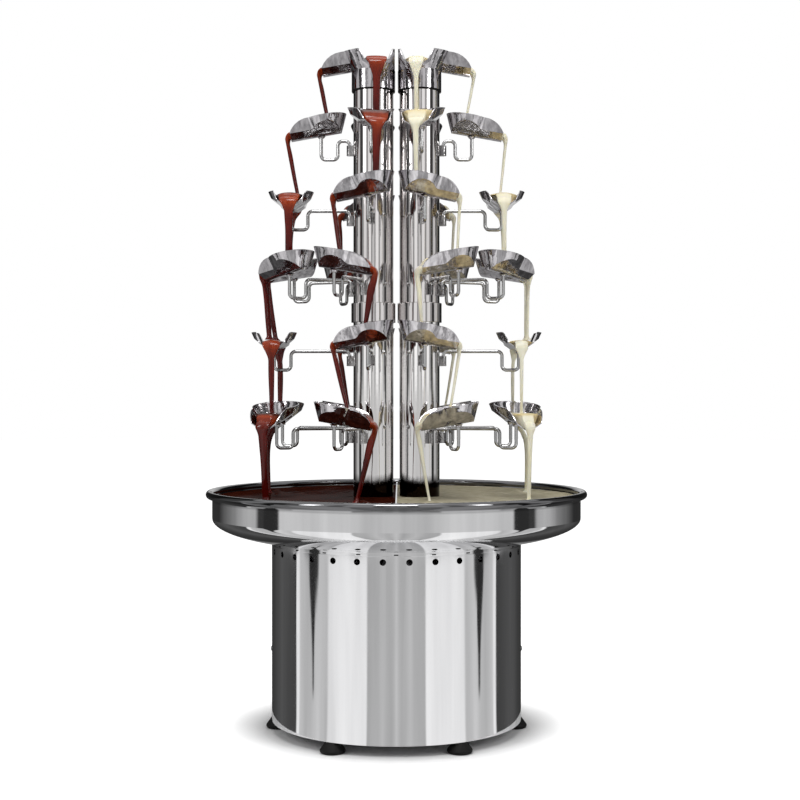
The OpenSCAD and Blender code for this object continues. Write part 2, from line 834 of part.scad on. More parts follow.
// A bent rod in the plane of X and Z: pin, shoulder, drip loop and riser
module arm(far, top) {
    low = -loop_h;
    in = far - loop_w;
    rod(socket_x, -socket_h, -bend_r);
    elbow(socket_x + bend_r, -bend_r, 90);
    flat_rod(socket_x + bend_r, in - bend_r, 0);
    elbow(in - bend_r, -bend_r, 0);
    rod(in, low + bend_r, -bend_r);
    elbow(in + bend_r, low + bend_r, 180);
    flat_rod(in + bend_r, far - bend_r, low);
    elbow(far - bend_r, low + bend_r, 270);
    rod(far, low + bend_r, top);
}

module rod(x, from, to) {
    translate([x, 0, from]) cylinder(d = rod_d, h = to - from);
}

module flat_rod(from, to, z) {
    translate([from, 0, z]) rotate([0, 90, 0]) cylinder(d = rod_d, h = to - from);
}

module elbow(x, z, a) {
    translate([x, 0, z]) rotate([90, 0, 0]) rotate(a) rotate_extrude(angle = 90)
        translate([bend_r, 0]) circle(d = rod_d);
}

module station_arm(t, s) {
    end = boss_at(s);
    translate([0, 0, tier_z(t)]) rotate(atan2(end[1], end[0]))
        arm(snap(norm(end)), station_z(t, s) - tier_z(t) - boss_h - weld_fit);
}

module arms() {
    color(steel) for (t = [1 : tiers], s = stations(t)) {
        station_arm(t, s);
        if (s[1] != 0)
            mirror([0, 1, 0]) station_arm(t, s);
    }
}

// A socket bored for the pin of an arm and hollowed to sit on the tube
module station_socket(t, s) {
    end = boss_at(s);
    translate([0, 0, tier_z(t) - bend_r - socket_h]) rotate(atan2(end[1], end[0])) difference() {
        union() {
            translate([socket_x, 0, 0]) cylinder(r = socket_r, h = socket_h);
            translate([0, -socket_r, 0]) cube([socket_x, 2 * socket_r, socket_h]);
        }
        translate([0, 0, -1]) cylinder(r = tube_r + weld_fit, h = socket_h + 2);
        translate([socket_x, 0, bend_r - 0.5]) cylinder(d = rod_d + 2 * run_fit, h = socket_h);
    }
}

module arm_sockets() {
    color(steel) for (t = [1 : tiers], s = stations(t)) {
        station_socket(t, s);
        if (s[1] != 0)
            mirror([0, 1, 0]) station_socket(t, s);
    }
}

module crown_form(t, grow) {
    lean = sqrt(1 + cup_flare * cup_flare);
    intersection() {
        union() {
            translate([0, 0, crown_z]) cylinder(
                r1 = cup_r - t * lean,
                r2 = cup_r + (crown_h + grow) * cup_flare - t * lean,
                h = crown_h + grow
            );
            for (a = [90 - crown_turn, 180, 270 + crown_turn])
                rotate(a) translate([0, 0, crown_z + cup_r * tan(dish_tilt)]) rotate([0, dish_tilt, 0])
                    intersection() {
                        spout(0, crown_lip + grow, t);
                        trough(t);
                        if (grow == 0)
                            wall_edge(0, crown_lip);
                    }
        }
        translate([-2 * crown_lip, -2 * crown_lip, 0])
            cube([2 * crown_lip + crown_flat - t, 4 * crown_lip, crown_z + crown_h + grow]);
    }
}

module crown() {
    sleeve_z = crown_z - crown_sleeve_h;
    color(steel) difference() {
        union() {
            translate([0, 0, sleeve_z]) cylinder(r = cup_r, h = crown_sleeve_h + 1);
            crown_form(0, 0);
        }
        crown_form(sheet, 3);
        translate([0, 0, sleeve_z - 1]) cylinder(r = tube_in, h = crown_sleeve_h + crown_h + 2);
        translate([0, 0, sleeve_z - 1])
            cylinder(r = tube_r + part_gap, h = tube_top + part_gap - sleeve_z + 1);
    }
}

base_drum();
base_floor();
foot(1);  // foot_1
foot(2);  // foot_2
foot(3);  // foot_3
foot(4);  // foot_4
foot(5);  // foot_5
foot(6);  // foot_6
foot_bushes();
side_screws();
motor_deck();
deck_posts();
deck_screws();
gearbox(-1);  // gearbox_left
gearbox(1);  // gearbox_right
motor(-1);  // motor_left
motor(1);  // motor_right
heater(-1);  // heater_left
heater(1);  // heater_right
thermostats();
control_tray();
heat_knob(-1);  // heat_knob_left
heat_knob(1);  // heat_knob_right
switch_housings();
rocker(-1);  // rocker_left
rocker(1);  // rocker_right
pilot_lamps();
power_inlet();
seat_ring();
bowl();
bowl_divider();
shaft_seals();
drive_shaft(-1);  // drive_shaft_left
drive_shaft(1);  // drive_shaft_right
auger(-1);  // auger_left
auger(1);  // auger_right
tower(-1) tube_base();  // tube_base_left
tower(1) tube_base();  // tube_base_right
tower(-1) lower_tube();  // lower_tube_left
tower(1) lower_tube();  // lower_tube_right
tower(-1) joint_collar();  // joint_collar_left
tower(1) joint_collar();  // joint_collar_right
tower(-1) upper_tube();  // upper_tube_left
tower(1) upper_tube();  // upper_tube_right
tower(-1) crown();  // crown_left
tower(1) crown();  // crown_right
tower(-1) dishes(1);  // dishes_left_1
tower(-1) dishes(2);  // dishes_left_2
tower(-1) dishes(3);  // dishes_left_3
tower(-1) dishes(4);  // dishes_left_4
tower(-1) dishes(5);  // dishes_left_5
tower(1) dishes(1);  // dishes_right_1
tower(1) dishes(2);  // dishes_right_2
tower(1) dishes(3);  // dishes_right_3
tower(1) dishes(4);  // dishes_right_4
tower(1) dishes(5);  // dishes_right_5
tower(-1) arms();  // arms_left
tower(1) arms();  // arms_right
tower(-1) arm_sockets();  // arm_sockets_left
tower(1) arm_sockets();  // arm_sockets_right
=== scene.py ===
"""Looks of the twin-tower chocolate fountain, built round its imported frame.

Lengths are in metres, +Z is up, -Y is the front, and the origin is on the floor under the middle of the base.
"""

import logging
import math
from dataclasses import dataclass, field, replace
from enum import Enum
from typing import Callable, Iterable, Sequence

import bpy
from mathutils import Matrix, Vector


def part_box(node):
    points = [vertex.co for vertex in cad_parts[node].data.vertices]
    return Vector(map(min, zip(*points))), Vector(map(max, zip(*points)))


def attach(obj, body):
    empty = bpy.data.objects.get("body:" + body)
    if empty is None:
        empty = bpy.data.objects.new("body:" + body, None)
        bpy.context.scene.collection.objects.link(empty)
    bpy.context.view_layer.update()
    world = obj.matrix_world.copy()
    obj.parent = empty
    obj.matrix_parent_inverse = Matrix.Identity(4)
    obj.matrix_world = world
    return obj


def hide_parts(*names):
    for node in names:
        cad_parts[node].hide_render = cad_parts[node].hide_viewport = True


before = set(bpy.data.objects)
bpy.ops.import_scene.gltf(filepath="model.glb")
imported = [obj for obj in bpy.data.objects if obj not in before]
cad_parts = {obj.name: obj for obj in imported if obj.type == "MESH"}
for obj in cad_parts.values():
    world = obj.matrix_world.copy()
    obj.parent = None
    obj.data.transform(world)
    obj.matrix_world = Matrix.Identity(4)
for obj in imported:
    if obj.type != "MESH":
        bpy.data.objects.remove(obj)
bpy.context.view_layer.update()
LOG = logging.getLogger("fountain")
MM = 0.001
# Name of the point attribute that mixes a flow's tints: the lip's painted light on the dark chocolate, then
# the falling tint.
FALL = "fall"
UNTURNED = Matrix.Identity(4)
MIRROR_X = Matrix.Scale(-1, 4, (1, 0, 0))
MIRROR_Y = Matrix.Scale(-1, 4, (0, 1, 0))
Pair = tuple[float, float]
Bands = tuple[Pair, ...]
Triple = tuple[float, float, float]
Colour = Triple
Tones = tuple[Colour, Colour, Colour]
Stops = tuple[tuple[float, Colour], ...]
Piece = bpy.types.Object
Socket = bpy.types.NodeSocket
Tree = bpy.types.NodeTree


def clamped(value: float) -> float:
    """Keeps a share between 0 and 1."""
    return min(1.0, max(0.0, value))


class Side(Enum):
    """The two towers, by the sign of their X."""

    LEFT = -1
    RIGHT = 1

    @property
    def word(self) -> str:
        """The side's word in the names of nodes."""
        return self.name.lower()

    @property
    def turn(self) -> Matrix:
        """How what is modelled on the left tower comes to this side."""
        return UNTURNED if self is Side.LEFT else MIRROR_X

    @property
    def slim(self) -> float:
        """How thin its streams are: the white chocolate runs thinner."""
        return 1.0 if self is Side.LEFT else 0.62

    @property
    def apart(self) -> float:
        """How far the streams of a dish and its mirror differ."""
        return 1.0 if self is Side.LEFT else 0.0

    @property
    def plumb(self) -> float:
        """How much nearer below the lip its streams land, in millimetres."""
        return 0.0 if self is Side.LEFT else 7.0

    @property
    def gather(self) -> float:
        """How far its chocolate draws together at a lip."""
        return 1.0 if self is Side.LEFT else 0.72


class Body(Enum):
    """The moving bodies that new pieces ride on."""

    MACHINE = "machine"
    CROWN_LEFT = "crown_left"
    CROWN_RIGHT = "crown_right"
    KNOB_LEFT = "heat_knob_left"
    KNOB_RIGHT = "heat_knob_right"


CROWNS = ((Side.LEFT, Body.CROWN_LEFT), (Side.RIGHT, Body.CROWN_RIGHT))


class Bench:
    """Hand tools: each selects what it works on, and all but edit end in object mode."""

    MERGE = 2e-6
    FLAT = 1e-7

    @staticmethod
    def clear() -> None:
        """Leaves edit mode and deselects everything."""
        if bpy.context.object and bpy.context.object.mode != "OBJECT":
            bpy.ops.object.mode_set(mode="OBJECT")
        bpy.ops.object.select_all(action="DESELECT")

    @staticmethod
    def take(piece: Piece) -> None:
        """Selects one object alone and makes it active.

        Args:
            piece: The object.
        """
        Bench.clear()
        piece.select_set(True)
        bpy.context.view_layer.objects.active = piece

    @staticmethod
    def edit(piece: Piece) -> None:
        """Opens an object in edit mode with all of it selected.

        Args:
            piece: The object.
        """
        Bench.take(piece)
        bpy.ops.object.mode_set(mode="EDIT")
        bpy.ops.mesh.select_all(action="SELECT")

    @staticmethod
    def named(name: str) -> Piece:
        """Names the object just added, with its mesh.

        Args:
            name: The new name.

        Returns:
            The object.
        """
        piece = bpy.context.object
        piece.name = name
        piece.data.name = name
        return piece

    @staticmethod
    def close(piece: Piece, fill: bool = False) -> None:
        """Merges doubles and turns the faces outwards.

        Args:
            piece: The object to close.
            fill: Whether open ends get a face.
        """
        Bench.edit(piece)
        bpy.ops.mesh.remove_doubles(threshold=Bench.MERGE)
        bpy.ops.mesh.dissolve_degenerate(threshold=Bench.FLAT)
        if fill:
            bpy.ops.mesh.select_all(action="SELECT")
            bpy.ops.mesh.fill_holes(sides=0)
        bpy.ops.mesh.select_all(action="SELECT")
        bpy.ops.mesh.normals_make_consistent(inside=False)
        bpy.ops.object.mode_set(mode="OBJECT")

    @staticmethod
    def grid(name: str, rows: int, columns: int, shape: Callable[[float, float], Vector]) -> Piece:
        """Adds a grid and moves each of its points to its place on a surface.

        Args:
            name: The object's name.
            rows: Faces along the first direction.
            columns: Faces along the second direction.
            shape: Place of the point at (u, v), both from 0 to 1.

        Returns:
            The shaped object.
        """
        Bench.clear()
        bpy.ops.mesh.primitive_grid_add(x_subdivisions=rows, y_subdivisions=columns, size=1)
        piece = Bench.named(name)
        for vertex in piece.data.vertices:
            vertex.co = shape(vertex.co.x + 0.5, vertex.co.y + 0.5)
        return piece

    @staticmethod
    def lathe(name: str, outline: Sequence[Pair], steps: int, axis: Pair = (0.0, 0.0)) -> Piece:
        """Draws an outline point by point and spins it round an upright axis.

        Args:
            name: The object's name.
            outline: Points as (radius, height).
            steps: Faces round the axis.
            axis: X and Y of the axis.

        Returns:
            The turned object.
        """
        Bench.clear()
        bpy.ops.mesh.primitive_plane_add(size=MM)
        piece = Bench.named(name)
        Bench.edit(piece)
        bpy.ops.mesh.merge(type="CENTER")
        start = (axis[0] + outline[0][0], axis[1], outline[0][1])
        bpy.ops.transform.translate(value=start)
        for (r_from, z_from), (r_to, z_to) in zip(outline, outline[1:]):
            step = (r_to - r_from, 0.0, z_to - z_from)
            bpy.ops.mesh.extrude_region_move(TRANSFORM_OT_translate={"value": step})
        bpy.ops.mesh.select_all(action="SELECT")
        bpy.ops.mesh.spin(steps=steps, angle=math.tau, center=(axis[0], axis[1], 0.0), axis=(0.0, 0.0, 1.0))
        Bench.close(piece)
        return piece

    @staticmethod
    def finish(piece: Piece, kind: str, **settings: object) -> None:
        """Adds one modifier and applies it.

        Args:
            piece: The object.
            kind: The modifier's type.
            settings: The modifier's settings.
        """
        Bench.take(piece)
        bpy.ops.object.modifier_add(type=kind)
        modifier = piece.modifiers[-1]
        for key, value in settings.items():
            setattr(modifier, key, value)
        bpy.ops.object.modifier_apply(modifier=modifier.name)

    @staticmethod
    def smooth(piece: Piece, degrees: float = 60.0) -> None:
        """Shades the object smooth, with edges past this angle kept sharp."""
        Bench.take(piece)
        bpy.ops.object.shade_smooth_by_angle(angle=math.radians(degrees))

    @staticmethod
    def copy(piece: Piece, name: str, place: Matrix) -> Piece:
        """Copies an object with its own mesh and moves the copy's points.

        Args:
            piece: The object to copy.
            name: The copy's name.
            place: How its points move.

        Returns:
            The copy.
        """
        Bench.take(piece)
        bpy.ops.object.duplicate(linked=False)
        twin = Bench.named(name)
        twin.data.transform(place)
        if place.determinant() < 0:
            twin.data.flip_normals()
        return twin

    @staticmethod
    def join(name: str, pieces: Sequence[Piece]) -> Piece:
        """Joins objects into the first of them.

        Args:
            name: The joined object's name.
            pieces: The objects.

        Returns:
            The joined object.
        """
        Bench.clear()
        for piece in pieces:
            piece.select_set(True)
        bpy.context.view_layer.objects.active = pieces[0]
        if len(pieces) > 1:
            bpy.ops.object.join()
        return Bench.named(name)

    @staticmethod
    def drop(piece: Piece) -> None:
        """Deletes an object that was only there to be copied or to cut."""
        Bench.take(piece)
        bpy.ops.object.delete()

    @staticmethod
    def cut(piece: Piece, tool: Piece) -> None:
        """Cuts one object with another, which is then deleted."""
        Bench.finish(piece, "BOOLEAN", operation="DIFFERENCE", solver="EXACT", object=tool)
        Bench.drop(tool)


class Board:
    """A tree of shader nodes, and short ways to add and join them."""

    def __init__(self, tree: Tree) -> None:
        """Keeps the tree.

        Args:
            tree: The nodes of a material, a world or a group.
        """
        self.tree = tree

    def feed(self, socket: Socket, value: object) -> None:
        """Links an output into a socket, or sets the socket's own value.

        Args:
            socket: The input.
            value: An output, a number or a colour.
        """
        if isinstance(value, bpy.types.NodeSocket):
            self.tree.links.new(value, socket)
        else:
            socket.default_value = value

    def node(self, kind: str, inputs: dict[str | int, object], **settings: object) -> bpy.types.Node:
        """Adds one node.

        Args:
            kind: The node's type, without the word that all types start with.
            inputs: What feeds its inputs, by their name or number.
            settings: Its other settings.

        Returns:
            The node.
        """
        node = self.tree.nodes.new(f"ShaderNode{kind}")
        for key, value in settings.items():
            setattr(node, key, value)
        for key, value in inputs.items():
            self.feed(node.inputs[key], value)
        return node

    def first(self, kind: str) -> bpy.types.Node:
        """Finds the tree's first node of a type."""
        return next(node for node in self.tree.nodes if node.type == kind)

    def reckon(self, kind: str, *values: object, clamp: bool = False) -> Socket:
        """Adds one sum.

        Args:
            kind: The operation.
            values: Numbers or outputs that it works on.
            clamp: Whether the result is kept between 0 and 1.

        Returns:
            Its result.
        """
        node = self.node("Math", dict(enumerate(values)), operation=kind, use_clamp=clamp)
        return node.outputs["Value"]

    def span(self, value: Socket, ends: Sequence[object], smooth: bool = False) -> Socket:
        """Maps a value from the first two ends to the last two.

        Args:
            value: The output to map.
            ends: From and to, as numbers or outputs.
            smooth: Whether the change starts and ends softly.

        Returns:
            The mapped value.
        """
        inputs = {"Value": value, **dict(zip(("From Min", "From Max", "To Min", "To Max"), ends))}
        node = self.node("MapRange", inputs, interpolation_type="SMOOTHSTEP" if smooth else "LINEAR")
        return node.outputs["Result"]


class Groups:
    """Shader groups that several finishes share, each made once."""

    @staticmethod
    def _start(
        name: str, numbers: dict[str, float], output: str
    ) -> tuple[Board, bpy.types.Node, bpy.types.Node]:
        """Makes an empty group with a place and number inputs.

        Args:
            name: The group's name.
            numbers: Names and first values of the number inputs.
            output: Name of its output.

        Returns:
            The group's board, its input node and its output node.
        """
        tree = bpy.data.node_groups.new(name, "ShaderNodeTree")
        tree.interface.new_socket("Place", in_out="INPUT", socket_type="NodeSocketVector")
        for label, value in numbers.items():
            socket = tree.interface.new_socket(label, in_out="INPUT", socket_type="NodeSocketFloat")
            socket.default_value = value
        tree.interface.new_socket(output, in_out="OUTPUT", socket_type="NodeSocketFloat")
        return Board(tree), tree.nodes.new("NodeGroupInput"), tree.nodes.new("NodeGroupOutput")

    @staticmethod
    def smudge() -> Tree:
        """Soft cloudy marks with fine speckles in them, from Low to High.

        Returns:
            The group.
        """
        if "Smudge" in bpy.data.node_groups:
            return bpy.data.node_groups["Smudge"]
        board, start, end = Groups._start("Smudge", {"Scale": 10.0, "Low": 0.0, "High": 1.0}, "Value")
        place, scale, low, high = (start.outputs[label] for label in ("Place", "Scale", "Low", "High"))
        cloud = board.node("TexNoise", {"Vector": place, "Scale": scale, "Detail": 6.0, "Roughness": 0.62})
        board.feed(end.inputs["Value"], board.span(cloud.outputs["Fac"], (0.3, 0.75, low, high)))
        return board.tree

    @staticmethod
    def streaks() -> Tree:
        """Fine lines left by polishing or flowing: noise squeezed along the axes.

        Returns:
            The group.
        """
        if "Streaks" in bpy.data.node_groups:
            return bpy.data.node_groups["Streaks"]
        numbers = {"Along X": 1.0, "Along Y": 1.0, "Along Z": 1.0, "Scale": 60.0}
        board, start, end = Groups._start("Streaks", numbers, "Height")
        place, scale = start.outputs["Place"], start.outputs["Scale"]
        size = board.node("CombineXYZ", {axis: start.outputs[f"Along {axis}"] for axis in "XYZ"})
        squeeze = board.node("VectorMath", {0: place, 1: size.outputs["Vector"]}, operation="MULTIPLY")
        lines = board.node("TexNoise", {"Vector": squeeze.outputs["Vector"], "Scale": scale, "Detail": 3.0})
        board.feed(end.inputs["Height"], lines.outputs["Fac"])
        return board.tree


class Shader(Board):
    """A new node material with one Principled shader."""

    def __init__(self, name: str) -> None:
        """Starts the material.

        Args:
            name: The material's name.
        """
        self.material = bpy.data.materials.new(name)
        self.material.use_nodes = True
        super().__init__(self.material.node_tree)
        self.main = self.first("BSDF_PRINCIPLED")
        self.place = self.node("TexCoord", {}).outputs["Object"]

    def set(self, **values: object) -> None:
        """Feeds the shader's own sockets, by names with spaces written as underscores."""
        for key, value in values.items():
            self.feed(self.main.inputs[key.replace("_", " ")], value)

    def group(self, tree: Tree, **values: float) -> Socket:
        """Places a shared group with its own values.

        Args:
            tree: The group.
            values: Its number inputs, with spaces written as underscores.

        Returns:
            The group's output.
        """
        node = self.node("Group", {}, node_tree=tree)
        self.feed(node.inputs["Place"], self.place)
        for key, value in values.items():
            self.feed(node.inputs[key.replace("_", " ")], value)
        return node.outputs[0]

    def ramp(self, mask: Socket, stops: Stops) -> Socket:
        """Turns a mask into colours through a ramp.

        Args:
            mask: What the colours follow.
            stops: Positions and colours.

        Returns:
            The colours.
        """
        node = self.node("ValToRGB", {"Fac": mask})
        elements = node.color_ramp.elements
        while len(elements) < len(stops):
            elements.new(1.0)
        for element, (at, colour) in zip(elements, stops):
            element.position = at
            element.color = (*colour, 1.0)
        return node.outputs["Color"]

    def mix(self, share: Socket, first: object, second: object) -> Socket:
        """Mixes two colours.

        Args:
            share: How much of the second there is.
            first: A colour, or an output that gives it.
            second: Another.

        Returns:
            The mixed colour.
        """
        node = self.node("Mix", {}, data_type="RGBA")
        self.feed(node.inputs["Factor"], share)
        for socket, value in zip((n for n in node.inputs if n.type == "RGBA"), (first, second)):
            self.feed(socket, value)
        return next(n for n in node.outputs if n.type == "RGBA")

    def bump(self, heights: Iterable[tuple[Socket, float, float]]) -> None:
        """Chains bumps into the normal.

        Args:
            heights: Height output, strength and depth in metres of each bump.
        """
        last = None
        for height, strength, depth in heights:
            node = self.node("Bump", {"Strength": strength, "Distance": depth, "Height": height})
            if last is not None:
                self.feed(node.inputs["Normal"], last)
            last = node.outputs["Normal"]
        self.set(Normal=last)


@dataclass(frozen=True)
class Steel:
    """Stainless steel, from mirror polish to a brushed grain."""

    name: str
    dark: Colour = (0.70, 0.70, 0.71)
    bright: Colour = (0.86, 0.86, 0.87)
    rough: Pair = (0.03, 0.09)
    mark_scale: float = 34.0
    mark_span: Pair = (0.32, 0.68)
    polish: float = 0.02
    polish_depth: float = 0.0002
    grain: float = 0.0
    grain_along: Triple = (1.0, 1.0, 40.0)
    wave: float = 0.0
    wave_scale: float = 9.0
    wave_depth: float = 0.004
    drawn: float = 0.0
    drawn_depth: float = 0.0006
    # A painted dark band, with its two heights and its tint: painted reflection and shade on the steel.
    painted_band: Pair | None = None
    painted_band_tint: Colour = (0.012, 0.007, 0.005)
    ragged: float = 0.022

    def _coloured(self, shader: Shader) -> Socket:
        """Colours the steel, with a painted dark band that ends between the band's two heights: painted
        reflection and shade.

        Args:
            shader: The material.

        Returns:
            The colour.
        """
        marks = shader.group(Groups.streaks(), Along_Z=0.05, Scale=self.mark_scale)
        colour = shader.ramp(marks, tuple(zip(self.mark_span, (self.bright, self.dark))))
        if not self.painted_band:
            return colour
        # Streaks make the edge of the painted band ragged.
        runs = shader.group(Groups.streaks(), Along_Z=0.1, Scale=110.0)
        height = shader.node("SeparateXYZ", {"Vector": shader.place}).outputs["Z"]
        edge = shader.reckon("MULTIPLY_ADD", runs, self.ragged, height)
        return shader.mix(shader.span(edge, (*self.painted_band, 0.0, 1.0)), (*self.painted_band_tint, 1.0), colour)

    def make(self) -> bpy.types.Material:
        """Builds the material.

        Returns:
            The material.
        """
        shader = Shader(self.name)
        shader.set(
            Metallic=1.0,
            Base_Color=self._coloured(shader),
            Roughness=shader.group(Groups.smudge(), Scale=22.0, Low=self.rough[0], High=self.rough[1]),
        )
        along = dict(zip(("Along_X", "Along_Y", "Along_Z"), self.grain_along))
        fine = shader.group(Groups.streaks(), Scale=70.0, **along)
        bumps = [(fine, self.polish + self.grain, self.polish_depth)]
        if self.wave:
            waves = shader.group(Groups.streaks(), Scale=self.wave_scale)
            bumps.append((waves, self.wave, self.wave_depth))
        if self.drawn:
            lines = shader.group(Groups.streaks(), Along_Z=0.05, Scale=300.0)
            bumps.append((lines, self.drawn, self.drawn_depth))
        shader.bump(bumps)
        return shader.material


@dataclass(frozen=True)
class Melt:
    """Melted chocolate: glossy, with soft flow lines, and other tints at the lip and where it falls; on the
    dark chocolate the lip's tint is painted light.
    """

    name: str
    lying: Tones
    # On the dark chocolate the lip's tints are painted light, for the top band that faces the lamps.
    pouring: Tones | None = None
    falling: Tones | None = None
    tones_at: Triple = (0.25, 0.55, 0.85)
    rough: Pair = (0.26, 0.40)
    glow: float = 0.0
    glow_reach: Triple = (0.004, 0.001, 0.0005)
    shine: float = 0.06
    coat: float = 0.22
    swirl: float = 0.22
    ridge: float = 0.16
    ridge_depth: float = 0.0012

    def make(self) -> bpy.types.Material:
        """Builds the material.

        Returns:
            The material.
        """
        shader = Shader(self.name)
        flow = shader.group(Groups.streaks(), Along_Z=self.swirl, Scale=85.0)
        colour = shader.ramp(flow, tuple(zip(self.tones_at, self.lying)))
        if self.pouring and self.falling:
            # The share mixes in the lip's tint, painted light on the dark chocolate, and then the falling
            # tint.
            tint_share = shader.node("Attribute", {}, attribute_name=FALL).outputs["Fac"]
            for start, tones in ((0.0, self.pouring), (-1.0, self.falling)):
                share = shader.reckon("MULTIPLY_ADD", tint_share, 2.0, start, clamp=True)
                colour = shader.mix(share, colour, shader.ramp(flow, tuple(zip(self.tones_at, tones))))
        shader.set(
            Base_Color=colour,
            Roughness=shader.group(Groups.smudge(), Scale=30.0, Low=self.rough[0], High=self.rough[1]),
            Specular_IOR_Level=self.shine,
            Subsurface_Weight=self.glow,
            Subsurface_Radius=self.glow_reach,
            Subsurface_Scale=1.0,
            Coat_Weight=self.coat,
            Coat_Roughness=0.11,
        )
        ridges = shader.group(Groups.streaks(), Along_Z=0.12, Scale=170.0)
        shader.bump([(ridges, self.ridge, self.ridge_depth)])
        return shader.material


@dataclass(frozen=True)
class Moulded:
    """Plastic, rubber, cast metal or a lens: a grained surface with soft marks."""

    name: str
    dark: Colour
    bright: Colour
    rough: Pair
    grain_scale: float = 900.0
    grain: float = 0.12
    grain_depth: float = 0.0002
    metallic: float = 0.0
    coat: float = 0.0
    shine: float = 0.5
    glow: Colour | None = None

    def make(self) -> bpy.types.Material:
        """Builds the material.

        Returns:
            The material.
        """
        shader = Shader(self.name)
        marks = shader.group(Groups.smudge(), Scale=35.0)
        shader.set(
            Metallic=self.metallic,
            Coat_Weight=self.coat,
            Specular_IOR_Level=self.shine,
            Base_Color=shader.ramp(marks, ((0.0, self.dark), (1.0, self.bright))),
            Roughness=shader.group(Groups.smudge(), Scale=60.0, Low=self.rough[0], High=self.rough[1]),
        )
        if self.glow:
            shader.set(Emission_Color=(*self.glow, 1.0), Emission_Strength=0.35)
        fine = shader.group(Groups.streaks(), Scale=self.grain_scale)
        shader.bump([(fine, self.grain, self.grain_depth)])
        return shader.material


